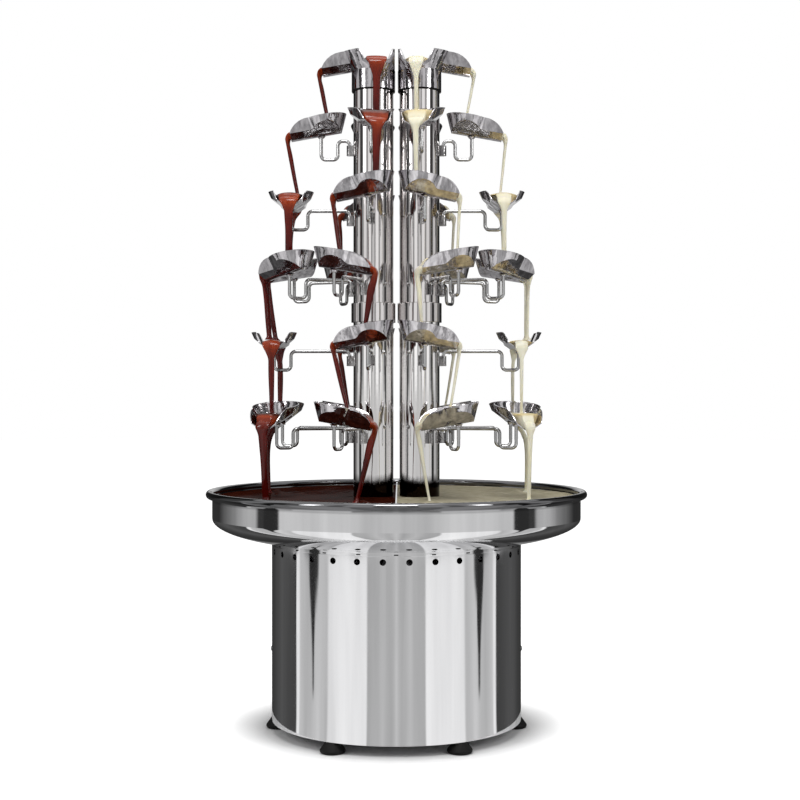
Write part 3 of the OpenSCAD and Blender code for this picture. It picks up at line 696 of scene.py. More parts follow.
class Finishes:
    """Every finish on the fountain, made once."""

    def __init__(self) -> None:
        """Makes all the materials."""
        self.mirror = Steel("polished_sheet").make()
        # Painted dark band on the bowl's rim and the top of its wall: painted reflection, and painted shade
        # under the rim.
        self.rim = Steel(
            "polished_bowl", painted_band=(0.3468, 0.3405), painted_band_tint=(0.17, 0.17, 0.175), ragged=0.0
        ).make()
        # Painted dark band at the foot of the tubes: a painted reflection of the dark pool.
        tube = Steel(
            "polished_tube", (0.60, 0.575, 0.57), (0.76, 0.735, 0.73), (0.03, 0.08),
            wave=0.03, wave_scale=30.0, painted_band=(0.378, 0.392),
        )
        self.tube = tube.make()
        # The lower tubes get a brighter copy of the tube's steel: painted light.
        self.bright_painted_tube = replace(
            tube, name="tube_painted_light", dark=(0.84, 0.825, 0.82), bright=(0.96, 0.945, 0.94)
        ).make()
        self.dish = Steel(
            "polished_dish", (0.36, 0.345, 0.36), (0.73, 0.71, 0.73), (0.05, 0.12),
            wave=0.16, wave_scale=60.0, drawn=0.14, mark_scale=130.0,
        ).make()
        self.socket = Steel(
            "socket_steel", (0.10, 0.095, 0.095), (0.50, 0.49, 0.49), (0.10, 0.2),
            wave=0.5, wave_scale=110.0, mark_scale=150.0,
        ).make()
        self.rod = Steel("polished_rod", (0.40, 0.40, 0.40), (0.58, 0.58, 0.58), (0.10, 0.18)).make()
        self.plain = Steel(
            "brushed_steel", (0.36, 0.36, 0.37), (0.52, 0.52, 0.53), (0.26, 0.42),
            grain=0.2, grain_along=(1.0, 40.0, 1.0),
        ).make()
        self.cast = Moulded(
            "cast_housing", (0.30, 0.31, 0.32), (0.44, 0.45, 0.46), (0.45, 0.62), metallic=0.9
        ).make()
        self.rubber = Moulded(
            "black_rubber", (0.004, 0.004, 0.004), (0.011, 0.0105, 0.010), (0.5, 0.7), shine=0.15
        ).make()
        self.plastic = Moulded(
            "black_plastic", (0.012, 0.012, 0.013), (0.024, 0.024, 0.025), (0.22, 0.38), coat=0.1
        ).make()
        self.lens = Moulded(
            "red_lens", (0.45, 0.012, 0.008), (0.62, 0.03, 0.02), (0.08, 0.16),
            coat=0.6, glow=(0.8, 0.03, 0.01),
        ).make()
        self.seal = Moulded("seal_plastic", (0.74, 0.74, 0.71), (0.86, 0.86, 0.84), (0.38, 0.52)).make()
        self.melt = {side: melt.make() for side, melt in self._melts().items()}
        self.pool = {side: melt.make() for side, melt in self._pools().items()}
        self.by_word = self._by_word()

    @staticmethod
    def _melts() -> dict[Side, Melt]:
        """The chocolate in the dishes and streams of the two towers.

        Returns:
            The finish of each tower's chocolate.
        """
        dark = Melt(
            "dark_chocolate",
            lying=((0.026, 0.0045, 0.0024), (0.045, 0.0075, 0.0036), (0.075, 0.013, 0.0055)),
            # Painted light: the bright orange band where the dark chocolate rolls over the lip and faces the
            # lamps.
            pouring=((0.21, 0.021, 0.003), (0.31, 0.037, 0.0055), (0.43, 0.068, 0.011)),
            falling=((0.055, 0.0022, 0.0012), (0.100, 0.0042, 0.002), (0.17, 0.009, 0.0035)),
            shine=0.02,
            coat=0.55,
        )
        white = Melt(
            "white_chocolate",
            lying=((0.62, 0.48, 0.22), (0.72, 0.60, 0.34), (0.80, 0.72, 0.50)),
            pouring=((0.80, 0.75, 0.56), (0.86, 0.82, 0.66), (0.89, 0.87, 0.74)),
            falling=((0.80, 0.75, 0.56), (0.86, 0.83, 0.67), (0.89, 0.87, 0.74)),
            glow=0.2,
            glow_reach=(0.006, 0.005, 0.003),
        )
        return {Side.LEFT: dark, Side.RIGHT: white}

    @staticmethod
    def _pools() -> dict[Side, Melt]:
        """The chocolate in the two halves of the bowl, duller than what flows; the white half is darkened by
        painted shade.

        Returns:
            The finish of each half.
        """
        dark = Melt(
            "dark_pool",
            lying=((0.022, 0.0042, 0.0022), (0.038, 0.0072, 0.0036), (0.065, 0.013, 0.006)),
            swirl=0.5,
            shine=0.0,
            coat=0.06,
        )
        # Painted shade: the white pool is darker and greyer than white chocolate, as it looks in shade.
        pale = ((0.36, 0.32, 0.22), (0.46, 0.42, 0.30), (0.60, 0.55, 0.42))
        return {Side.LEFT: dark, Side.RIGHT: replace(dark, name="white_pool", lying=pale)}

    def _by_word(self) -> dict[str, bpy.types.Material]:
        """Says which solids get which finish. The first word that fits a name counts.

        Returns:
            Materials by the start of a node's name.
        """
        words = (
            (self.plain, "foot_bushes base_floor motor deck auger drive_shaft"),
            (self.rubber, "foot"),
            (self.plastic, "thermostats heat_knob switch_housings rocker power_inlet"),
            (self.lens, "pilot_lamps"),
            (self.seal, "shaft_seals"),
            (self.cast, "gearbox heater_"),
            (self.bright_painted_tube, "lower_tube"),
            (self.tube, "upper_tube tube_base joint_collar"),
            (self.socket, "arm_sockets"),
            (self.rod, "arm"),
            (self.dish, "crown"),
        )
        return {word: material for material, some in words for word in some.split()}

    @staticmethod
    def put(piece: Piece, material: bpy.types.Material) -> None:
        """Gives an object this one material."""
        piece.data.materials.clear()
        piece.data.materials.append(material)


@dataclass(frozen=True)
class Tower:
    """Where the two tubes stand and how high their tiers are."""

    axis_x: float = 34.6 * MM
    tube_r: float = 30.0 * MM
    low_tier: float = 448.29 * MM
    low_step: float = 10.0 * MM
    pitch: float = 105.0 * MM
    tiers: int = 5
    dish_rise: float = 8.0 * MM
    split_rise: float = 1.0 * MM

    def tier(self, number: int) -> float:
        """Height of a tier line, counted from the top."""
        step = self.low_step if number < self.tiers else 0.0
        return self.low_tier + (self.tiers - number) * self.pitch + step


@dataclass(frozen=True)
class Bowl:
    """The round bowl with its rolled rim."""

    low: float = 275.29 * MM
    flat: float = 85.0 * MM
    radius: float = 274.0 * MM
    rise: float = 41.0 * MM
    rim_z: float = 351.29 * MM
    neck: float = 7.0 * MM
    support: float = 1.0 * MM
    sheet: float = 1.5 * MM
    bead: float = 5.5 * MM
    bead_arc: tuple[int, int, int] = (-130, 221, 14)
    seal_hole: float = 15.0 * MM
    hole_depth: float = 20.0 * MM
    hole_steps: int = 48
    curve_steps: int = 24
    steps: int = 192
    sharp: float = 35.0

    def _curve(self, inset: float) -> list[Pair]:
        """Draws from the flat floor up the curve.

        Args:
            inset: How far the line is moved inward.

        Returns:
            Its points.
        """
        top = self.low + self.rise
        width = self.radius - self.flat - inset
        angles = (i * math.pi / (2 * self.curve_steps) for i in range(self.curve_steps + 1))
        return [(self.flat + width * math.sin(a), top - (self.rise - inset) * math.cos(a)) for a in angles]

    def build(self) -> Piece:
        """Turns the bowl's sheet with its bead, and cuts the two holes for the seals.

        Returns:
            The bowl.
        """
        low, high = self.low + self.rise + self.support, self.rim_z - self.neck
        wall = ((self.radius, z) for z in (low, high - self.support, high))
        outside = [(0.0, self.low), *self._curve(0.0), *wall]
        middle = self.radius - self.sheet + self.bead
        bead = [
            (middle + self.bead * math.cos(a), self.rim_z + self.bead * math.sin(a))
            for a in (math.radians(degrees) for degrees in range(*self.bead_arc))
        ]
        inside = [(self.radius - self.sheet, high), *reversed(self._curve(self.sheet))]
        outline = [*outside, *bead, *inside, (0.0, self.low + self.sheet)]
        bowl = Bench.lathe("bowl_sheet", outline, self.steps)
        for side in Side:
            Bench.clear()
            bpy.ops.mesh.primitive_cylinder_add(
                vertices=self.hole_steps,
                radius=self.seal_hole,
                depth=self.hole_depth,
                location=(side.value * Tower.axis_x, 0.0, self.low),
            )
            Bench.cut(bowl, bpy.context.object)
        Bench.smooth(bowl, self.sharp)
        return bowl

    def dress(self, finishes: Finishes) -> Piece:
        """Builds the bowl in its finish, in place of its solid.

        Args:
            finishes: The finishes.

        Returns:
            The bowl.
        """
        bowl = self.build()
        Finishes.put(bowl, finishes.rim)
        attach(bowl, Body.MACHINE.value)
        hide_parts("bowl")
        return bowl


@dataclass(frozen=True)
class Station:
    """One dish of the left tower and what pours from it, in millimetres and degrees.

    Attributes:
        tier: Its tier, counted from the top.
        x: Place of its belly from the tower's axis.
        y: The same towards the back.
        heading: Where its lip points, from +X.
        splits: Whether it has two lips.
        lead: How far ahead of the belly its boss sits.
        lean: How far inside the lip its stream lands.
        sway: How much more its mirror's stream does.
        aside: How far its stream drifts aside.
        catch: Height over the next tier's line at which its stream ends.
        thick: How thick its stream starts.
        slim: How thin its stream is for its side.
        fill: How deep the chocolate lies at the nose.
        gather: How far the chocolate draws together at the lip.
        tone: How much further than others its lip takes the tint of what falls, so that a dish in shadow
            shows less of the lip's painted light: painted shade.
    """

    tier: int
    x: float
    y: float
    heading: float
    splits: bool = False
    lead: float = 0.0
    lean: float = 5.0
    sway: float = 0.0
    aside: float = 0.0
    catch: float = 19.0
    thick: float = 4.3
    slim: float = 1.0
    fill: float = 20.0
    gather: float = 1.0
    tone: float = 0.0

    def place(self, tower: Tower) -> Matrix:
        """Where the dish's own frame stands on the left tower.

        Args:
            tower: Where the towers and tiers are.

        Returns:
            Its place and turn.
        """
        rise = tower.split_rise if self.splits else tower.dish_rise
        spot = Vector((self.x * MM - tower.axis_x, self.y * MM, tower.tier(self.tier) + rise))
        return Matrix.Translation(spot) @ Matrix.Rotation(math.radians(self.heading), 4, "Z")

    @property
    def twins(self) -> tuple[Matrix, ...]:
        """The dish's own place, and its mirror at the back if it stands off the middle."""
        return (UNTURNED,) if self.y == 0 else (UNTURNED, MIRROR_Y)

    def runs(self, side: Side) -> tuple[tuple[Matrix, float, float], ...]:
        """How the chocolate leaves the dish and its mirror.

        Args:
            side: Which tower they stand on.

        Returns:
            For each twin its place, how far inside the lip its stream lands, and how far it drifts aside.
        """
        lean = self.lean - side.plumb
        leans = (lean, lean + self.sway * side.apart)
        asides = (self.aside if self.splits else 0.0, self.aside)
        return tuple(zip(self.twins, leans, asides))


# Dishes with a tone stand in shadow and show less of the lip's painted light: painted shade.
STATIONS: tuple[Station, ...] = (
    Station(1, -69.15, 0.0, 180.0, lead=9.0, lean=8.0, catch=17.0),
    Station(1, -3.0, -69.15, 280.0, lead=9.0, fill=22.5),
    Station(2, -123.15, 0.0, 90.0, splits=True, fill=17.5, aside=6.5),
    Station(2, 3.0, -123.15, 168.0, lead=9.0, lean=3.0, sway=-9.5),
    Station(3, -115.15, -52.0, 140.0, lead=9.0, lean=0.0, sway=7.5, catch=17.0, tone=0.3),
    Station(3, -53.82, -111.923, 352.0, thick=9.5),
    Station(4, -148.516, 0.0, 90.0, splits=True, fill=10.0, aside=-5.0, slim=0.72, tone=0.4),
    Station(4, 3.0, -123.15, 168.0, lead=9.0, lean=15.0, sway=-8.0),
    Station(5, -140.516, -52.0, 255.0, aside=-15.0, gather=0.66, tone=0.35),
    Station(5, -53.82, -111.923, 352.0, lean=16.0, thick=8.5),
)


@dataclass(frozen=True)
class DishShape:
    """The pressed dish: a round belly and one or two spouts over a V trough.

    Along its outline, u runs from the lip at 0, past the ends of spout and corner, to the back at 1.
    """

    splits: bool
    belly: float = 22.0 * MM
    flare: float = 0.45
    height: float = 27.0 * MM
    spout: float = 14.0 * MM
    corner: float = 18.0 * MM
    trough: float = 14.0 * MM
    slope: float = math.radians(35.0)
    nose: float = 30.0 * MM
    nose_r: float = 36.0 * MM
    sheet: float = 1.2 * MM
    tilt_deg: float = 10.0
    one_lip: float = 54.0 * MM
    two_lips: float = 48.0 * MM
    spout_end: float = 0.3
    corner_end: float = 0.5
    trough_share: float = 0.6
    least_wall: float = 0.8 * MM
    least_square: float = 1e-10
    crease_rounds: int = 40
    edge_rounds: int = 12

    @property
    def lip(self) -> float:
        """Distance from the belly to a lip."""
        return self.two_lips if self.splits else self.one_lip

    @property
    def lean(self) -> float:
        """How far the trough leans towards the lip, in radians."""
        return math.radians(0.0 if self.splits else self.tilt_deg)

    @property
    def tilt(self) -> Matrix:
        """The slope of the dish towards its lip."""
        return Matrix.Rotation(self.lean, 4, "Y")

    @property
    def corner_x(self) -> float:
        """Where the corner between belly and spout has its centre."""
        return math.sqrt((self.belly + self.corner) ** 2 - (self.spout + self.corner) ** 2)

    def floor(self, y: float, inset: float = 0.0) -> float:
        """Height of the trough.

        Args:
            y: Distance from its middle line.
            inset: How far the surface is moved inward.

        Returns:
            The height.
        """
        r = self.trough - inset
        knee = r * math.sin(self.slope)
        if abs(y) < knee:
            return self.trough - math.sqrt(r * r - y * y)
        return self.trough - r * math.cos(self.slope) + (abs(y) - knee) * math.tan(self.slope)

    def rail(self, u: float) -> tuple[float, float, float, float]:
        """Foot of the wall.

        Args:
            u: How far along the outline.

        Returns:
            X and Y of the point, and of the outward direction there.
        """
        centre_x = self.corner_x
        turn = math.atan2(self.spout + self.corner, centre_x)
        last = math.pi / 2 if self.splits else math.pi
        if u < self.spout_end:
            return self.lip + (centre_x - self.lip) * u / self.spout_end, self.spout, 0.0, 1.0
        if u < self.corner_end:
            share = (u - self.spout_end) / (self.corner_end - self.spout_end)
            a = -math.pi / 2 - (math.pi / 2 - turn) * share
            x, y = centre_x + self.corner * math.cos(a), self.spout + self.corner * (1 + math.sin(a))
            return x, y, -math.cos(a), -math.sin(a)
        a = turn + (last - turn) * (u - self.corner_end) / (1 - self.corner_end)
        return self.belly * math.cos(a), self.belly * math.sin(a), math.cos(a), math.sin(a)

    def edge(self, x: float) -> float:
        """Height of the wall's edge.

        Args:
            x: Distance from the belly's middle.

        Returns:
            The height.
        """
        over = abs(x) - (self.lip - self.nose) if self.splits else x - (self.lip - self.nose)
        if over <= 0:
            return self.height
        return self.height - self.nose_r + math.sqrt(max(0.0, self.nose_r**2 - over * over))

    def side(self, x: float) -> float:
        """Half the width between the feet of the walls.

        Args:
            x: Distance from the belly's middle.

        Returns:
            Half the width.
        """
        centre_x = self.corner_x
        if x >= centre_x:
            return self.spout
        if x >= centre_x * self.belly / (self.belly + self.corner):
            return self.spout + self.corner - math.sqrt(self.corner**2 - (centre_x - x) ** 2)
        return math.sqrt(max(0.0, self.belly**2 - x * x))

    def reach(self, depth: float) -> float:
        """Half the width of the trough's inside.

        Args:
            depth: Height over its lowest line.

        Returns:
            Half the width.
        """
        r = self.trough - self.sheet
        knee = r * (1 - math.cos(self.slope))
        if depth < knee:
            return math.sqrt(max(self.least_square, r * r - (r - depth) ** 2))
        return r * math.sin(self.slope) + (depth - knee) / math.tan(self.slope)

    def inside(self, x: float, y: float) -> float:
        """Height of the dish's inside at (x, y) over its lowest line."""
        over = math.hypot(x, y) - self.belly if x < self.spout else abs(y) - self.side(x)
        return max(self.floor(y, self.sheet) - self.sheet, (over + self.sheet) / self.flare)

    def wall(self, u: float) -> Pair:
        """Heights of the crease and of the edge of the wall.

        Args:
            u: How far along the outline.

        Returns:
            The two heights.
        """
        x, y, out_x, out_y = self.rail(u)
        low = 0.0
        for _ in range(self.crease_rounds):
            low = self.floor(y + out_y * self.flare * low)
        high = self.height
        for _ in range(self.edge_rounds):
            high = 0.5 * (high + self.edge(x + out_x * self.flare * high))
        return low, max(high, low + self.least_wall)

    def point(self, u: float, v: float) -> Vector:
        """Place on the dish's outside.

        Args:
            u: From the front lip at 0 to the back, or to the other lip, at 1.
            v: Across the dish, from one edge of the wall at 0 to the other at 1.

        Returns:
            The place in the dish's own frame.
        """
        mirror_x = 1.0
        if self.splits:
            mirror_x = 1.0 if u <= 0.5 else -1.0
            u = 2 * u if u <= 0.5 else 2 - 2 * u
        x, y, out_x, out_y = self.rail(u)
        low, high = self.wall(u)
        side = -1.0 if v < 0.5 else 1.0
        across = abs(2 * v - 1)
        share = self.trough_share
        if across <= share:
            reach = (y + out_y * self.flare * low) * across / share
            return Vector((mirror_x * (x + out_x * self.flare * low), side * reach, self.floor(reach)))
        z = low + (high - low) * (across - share) / (1 - share)
        return Vector((mirror_x * (x + out_x * self.flare * z), side * (y + out_y * self.flare * z), z))


@dataclass(frozen=True)
class Dish:
    """One kind of dish, modelled once in its own frame, with its boss some millimetres ahead of the belly."""

    splits: bool
    lead: float
    columns: int = 40
    rows_one: int = 48
    rows_two: int = 64
    crease: float = 1.1 * MM
    crease_past: float = math.radians(19)
    soft_edge: float = 0.42 * MM
    soft_past: float = math.radians(62)
    boss: Bands = ((0.0, -4.0), (4.1, -4.0), (4.5, -3.6))
    flange: Bands = ((4.5, -1.6), (5.2, -0.6), (6.6, 0.4), (0.0, 0.8))
    boss_steps: int = 32
    sharp: float = 38.0

    def _sheet(self, shape: DishShape) -> Piece:
        """Presses the sheet and gives it thickness and rounded edges.

        Args:
            shape: The pressed form.

        Returns:
            The sheet.
        """
        rows = self.rows_two if self.splits else self.rows_one
        sheet = Bench.grid("dish_pattern", rows, self.columns, shape.point)
        Bench.close(sheet)
        lowest = min(sheet.data.polygons, key=lambda face: face.center.z)
        if lowest.normal.z > 0:
            sheet.data.flip_normals()
        bevel = {"kind": "BEVEL", "limit_method": "ANGLE"}
        Bench.finish(sheet, **bevel, width=self.crease, segments=3, angle_limit=self.crease_past)
        Bench.finish(sheet, "SOLIDIFY", thickness=shape.sheet, offset=-1.0, use_even_offset=True)
        Bench.finish(sheet, **bevel, width=self.soft_edge, segments=2, angle_limit=self.soft_past)
        sheet.data.transform(shape.tilt)
        return sheet

    def build(self) -> Piece:
        """Presses the sheet and welds the boss on, as far down as the trough has sunk there.

        Returns:
            The pattern that the dishes of this kind are copied from.
        """
        shape = DishShape(self.splits)
        lead = self.lead * MM
        sunk = lead * math.tan(math.radians(shape.tilt_deg))
        outline = [(r * MM, z * MM) for r, z in self.boss]
        outline += [(r * MM, z * MM - sunk) for r, z in self.flange]
        sheet = self._sheet(shape)
        boss = Bench.lathe("dish_boss", outline, self.boss_steps, (lead, 0.0))
        dish = Bench.join("dish_pattern", [sheet, boss])
        Bench.smooth(dish, self.sharp)
        return dish


class Dishes:
    """All the dishes on both towers."""

    def __init__(self, tower: Tower) -> None:
        """Models each kind of dish.

        Args:
            tower: Where the towers and tiers are.
        """
        self.tower = tower
        kinds = dict.fromkeys((station.splits, station.lead) for station in STATIONS)
        self.patterns = {kind: Dish(*kind).build() for kind in kinds}

    def dress(self, finishes: Finishes) -> list[Piece]:
        """Copies the dishes to their stations, one piece for each tier of each tower.

        Args:
            finishes: The finishes.

        Returns:
            The pieces.
        """
        made = []
        for side in Side:
            for tier in range(1, self.tower.tiers + 1):
                copies = [
                    Bench.copy(
                        self.patterns[s.splits, s.lead], "dish", side.turn @ twin @ s.place(self.tower)
                    )
                    for s in STATIONS if s.tier == tier for twin in s.twins
                ]
                node = f"dishes_{side.word}_{tier}"
                piece = Bench.join(f"dish_set_{side.word}_{tier}", copies)
                Finishes.put(piece, finishes.dish)
                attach(piece, Body.MACHINE.value)
                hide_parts(node)
                made.append(piece)
        for pattern in self.patterns.values():
            Bench.drop(pattern)
        return made


@dataclass(frozen=True)
class Ring:
    """One section of a flow: its level point, axes and sizes, how free it hangs, and how far it has taken the
    lip's painted light and the falling tint.
    """

    x: float
    level: Vector
    up: Vector
    half: float
    depth: float
    bulge: float
    bead: float
    free: float
    tint_share: float


@dataclass
class Flow:
    """Chocolate that lies in a dish, runs over the nose of its walls and falls to what catches it.

    Sizes with the word from are distances before the lip. Those with the word over are lengths of a change.
    """

    shape: DishShape
    back: float
    level: float
    lip: float
    floor_z: float
    land: float
    dome: float = 1.4 * MM
    nose: float = 11.0 * MM
    cover: float = 0.8 * MM
    bead: float = 2.2 * MM
    squeeze: float = 1.0
    roll: float = 7.6 * MM
    sag: float = 9.0 * MM
    tall: float = 30.0 * MM
    thick: float = 4.3 * MM
    thin: float = 2.8 * MM
    wide: float = 6.6 * MM
    narrow: float = 4.2 * MM
    aside: float = 0.0
    # Painted shade for a dish in shadow: less of the lip's painted light.
    tone: float = 0.0
    wobble: float = 0.0
    soft: float = 1.2 * MM
    hidden_back: float = -2.0 * MM
    brim_over: float = 3.0 * MM
    brim: float = 1.4 * MM
    lap: float = 0.2 * MM
    sink: float = 0.3 * MM
    squeeze_from: float = 20.0 * MM
    squeeze_over: float = 12.0 * MM
    # Where the lip's tint, painted light on the dark chocolate, starts and how fast it comes in.
    tint_from: float = 9.0 * MM
    tint_over: float = 6.0 * MM
    crest_from: float = 16.0 * MM
    full_half: float = 12.0 * MM
    roll_bulge: float = 1.7 * MM
    roll_free: float = 0.12
    roll_thins: float = 0.38
    neck_over: float = 9.5 * MM
    foot_over: float = 6.0 * MM
    foot_wide: float = 4.0 * MM
    foot_thick: float = 3.6 * MM
    ripple: float = 0.07
    ripples: float = 9.0
    set_back: float = 0.6
    # Shares of the tints: the lip's painted light on the dark chocolate, and then the falling tint.
    lip_tint: float = 0.42
    edge_tint: float = 0.12
    late_tint: float = 0.06
    roll_tint: float = 0.6
    least_square: float = 1e-8
    spread_power: float = 1.25
    roll_narrows: float = 1.5
    edge_tints: float = 2.0
    drop_power: float = 1.3
    taper_power: float = 1.6
    aside_power: float = 1.5
    even_drift: float = 0.45
    lip_steep: float = 4.0
    lying: int = 34
    rolling: int = 8
    falling: int = 30
    around: int = 32
    rings: list[Ring] = field(default_factory=list)

    def _half_lying(self, x: float, depth: float) -> float:
        """Half the width of the chocolate in the dish.

        Args:
            x: Distance from the belly's middle.
            depth: How deep it lies there.

        Returns:
            Half the width.
        """
        shape = self.shape
        rim = shape.flare * depth - shape.sheet
        if x > 0:
            half = shape.side(x) + rim
        else:
            half = math.sqrt(max(self.least_square, (shape.belly + rim) ** 2 - x * x))
        return min(half, shape.reach(depth) + self.lap)

    def _lie(self) -> None:
        """Adds the sections that lie level in the dish and cover the edge of its walls at the nose."""
        shape = self.shape
        up = shape.tilt @ Vector((0, 0, 1))
        for i in range(self.lying + 1):
            if self.back >= self.hidden_back:
                t = math.sin(0.5 * math.pi * i / self.lying)
            else:
                t = 0.5 - 0.5 * math.cos(math.pi * i / self.lying)
            x = self.back + (self.lip - self.back) * t
            edge = shape.edge(x - self.lip + shape.lip) - shape.sheet + self.cover
            flat = self.level + (x - self.lip + self.nose) * math.tan(shape.lean)
            depth = -self.soft * math.log(math.exp(-flat / self.soft) + math.exp(-edge / self.soft))
            over = clamped((flat - edge + self.soft) / self.brim_over)
            near = clamped((x - self.lip + self.squeeze_from) / self.squeeze_over)
            tint = clamped((x - self.lip + self.tint_from) / self.tint_over)
            half = self._half_lying(x, depth) + over * self.brim
            half *= 1 + (self.squeeze - 1) * near
            self.rings.append(Ring(
                x=x,
                level=shape.tilt @ Vector((x, 0, shape.sheet + depth)),
                up=up,
                half=half,
                depth=depth,
                bulge=self.dome * min(1.0, half / self.full_half),
                bead=over * self.bead,
                free=0.0,
                # Near the lip the share brings in the lip's painted light.
                tint_share=(self.lip_tint + self.tone) * tint,
            ))

    def _crest(self) -> Ring:
        """The highest of the sections that lie near the lip."""
        near = (ring for ring in self.rings if ring.x > self.lip - self.crest_from)
        return max(near, key=lambda ring: ring.level.z)

    def _spread(self, crest: Ring, z: float) -> float:
        """Half the width of the hanging sheet at a height, down to the stream's own."""
        left = max(0.0, 1 - (crest.level.z - z) / self.tall)
        return self.wide + (crest.half - self.wide) * left**self.spread_power

    def _roll(self, crest: Ring) -> None:
        """Adds the sections that roll over the lip.

        Args:
            crest: The highest section before the lip.
        """
        last = self.rings[-1]
        first = self.shape.lean
        for i in range(1, self.rolling + 1):
            t = i / self.rolling
            a = first + (math.pi / 2 - first) * t
            out = self.roll * (math.sin(a) - math.sin(first))
            down = self.sag * (math.cos(first) - math.cos(a))
            level = last.level + Vector((out, 0, -down))
            hanging = min(last.half, self._spread(crest, level.z))
            tint = self.edge_tint * min(1.0, self.edge_tints * t) + self.late_tint * t
            self.rings.append(Ring(
                x=last.x,
                level=level,
                up=Vector((math.sin(a), 0, math.cos(a))),
                half=last.half + (hanging - last.half) * min(1.0, self.roll_narrows * t),
                depth=last.depth * (1 - self.roll_thins * t),
                bulge=self.dome + (self.roll_bulge - self.dome) * t,
                bead=self.bead,
                free=self.roll_free * t,
                # Over the roll the lip's painted light gives way to the falling tint.
                tint_share=self.lip_tint + tint + self.tone,
            ))

    def _fall(self, crest: Ring) -> None:
        """Adds the sections that fall, and the foot where they land.

        Args:
            crest: The highest section before the lip.
        """
        top = self.rings[-1]
        drop = top.level.z - self.floor_z
        for i in range(1, self.falling + 1):
            t = i / self.falling
            gone = drop * t**self.drop_power
            neck = 1 - math.exp(-gone / self.neck_over)
            foot = max(0.0, 1 - (drop - gone) / self.foot_over)
            half = self._spread(crest, top.level.z - gone) + (self.narrow - self.wide) * t
            half *= 1 + self.ripple * math.sin(self.wobble + self.ripples * t) * neck
            thick = self.thin + (self.thick - self.thin) * (1 - t) ** self.taper_power
            thick += self.foot_thick * foot * foot
            gone_out = self.even_drift * t + (1 - self.even_drift) * t * t
            drift = (self.land - top.level.x) * gone_out - self.thick * self.set_back * neck
            centre = top.level + Vector((drift, self.aside * neck**self.aside_power, 0))
            centre.z = top.level.z - gone
            self.rings.append(Ring(
                x=top.x,
                level=centre,
                up=Vector((1, 0, 0)),
                half=half + self.foot_wide * foot * foot,
                depth=top.depth * (1 - neck),
                bulge=self.roll_bulge + (thick - self.roll_bulge) * neck,
                bead=self.bead,
                free=neck,
                tint_share=self.roll_tint + self.tone + (1 - self.roll_tint) * neck,
            ))

    def _point(self, ring: Ring, turn: float) -> Vector:
        """Place on a ring.

        Args:
            ring: The section.
            turn: From 0 to 1, over the top first.

        Returns:
            The place in the dish's own frame.
        """
        c, s = math.cos(math.tau * turn), math.sin(math.tau * turn)
        side = ring.half * c
        if s >= 0:
            high = ring.bulge * s
        else:
            lying = self.shape.inside(ring.x, side) - ring.depth - self.sink
            under = min(-ring.bead * min(1.0, -self.lip_steep * s), lying)
            high = (1 - ring.free) * under + ring.free * ring.bulge * s
        return ring.level + Vector((0, side, 0)) + ring.up * high

    def build(self, name: str) -> Piece:
        """Joins the sections by one closed skin, in the dish's own frame.

        Args:
            name: The object's name.

        Returns:
            The flow, with each point's share of the lip's painted light and of the falling tint as an
            attribute.
        """
        self._lie()
        crest = self._crest()
        self._roll(crest)
        self._fall(crest)
        last = len(self.rings) - 1
        tint_share: list[float] = []

        def place(u: float, v: float) -> Vector:
            """Finds a point of the skin.

            Args:
                u: How far along the flow.
                v: How far round it.

            Returns:
                The place in the dish's own frame.
            """
            ring = self.rings[round(u * last)]
            tint_share.append(ring.tint_share)
            return self._point(ring, v)

        piece = Bench.grid(name, last, self.around, place)
        piece.data.attributes.new(FALL, "FLOAT", "POINT").data.foreach_set("value", tint_share)
        Bench.close(piece, fill=True)
        Bench.smooth(piece)
        return piece


@dataclass(frozen=True)
class Pour:
    """How chocolate lies in a kind of dish and leaves it: start, dome, gather, sheet and foot."""

    back: float
    dome: float
    squeeze: float
    tall: float
    narrow: float


ONE_LIP = Pour(back=-23.0 * MM, dome=2.4 * MM, squeeze=0.82, tall=30.0 * MM, narrow=4.2 * MM)
TWO_LIPS = Pour(back=-1.0 * MM, dome=3.6 * MM, squeeze=0.74, tall=26.0 * MM, narrow=4.8 * MM)


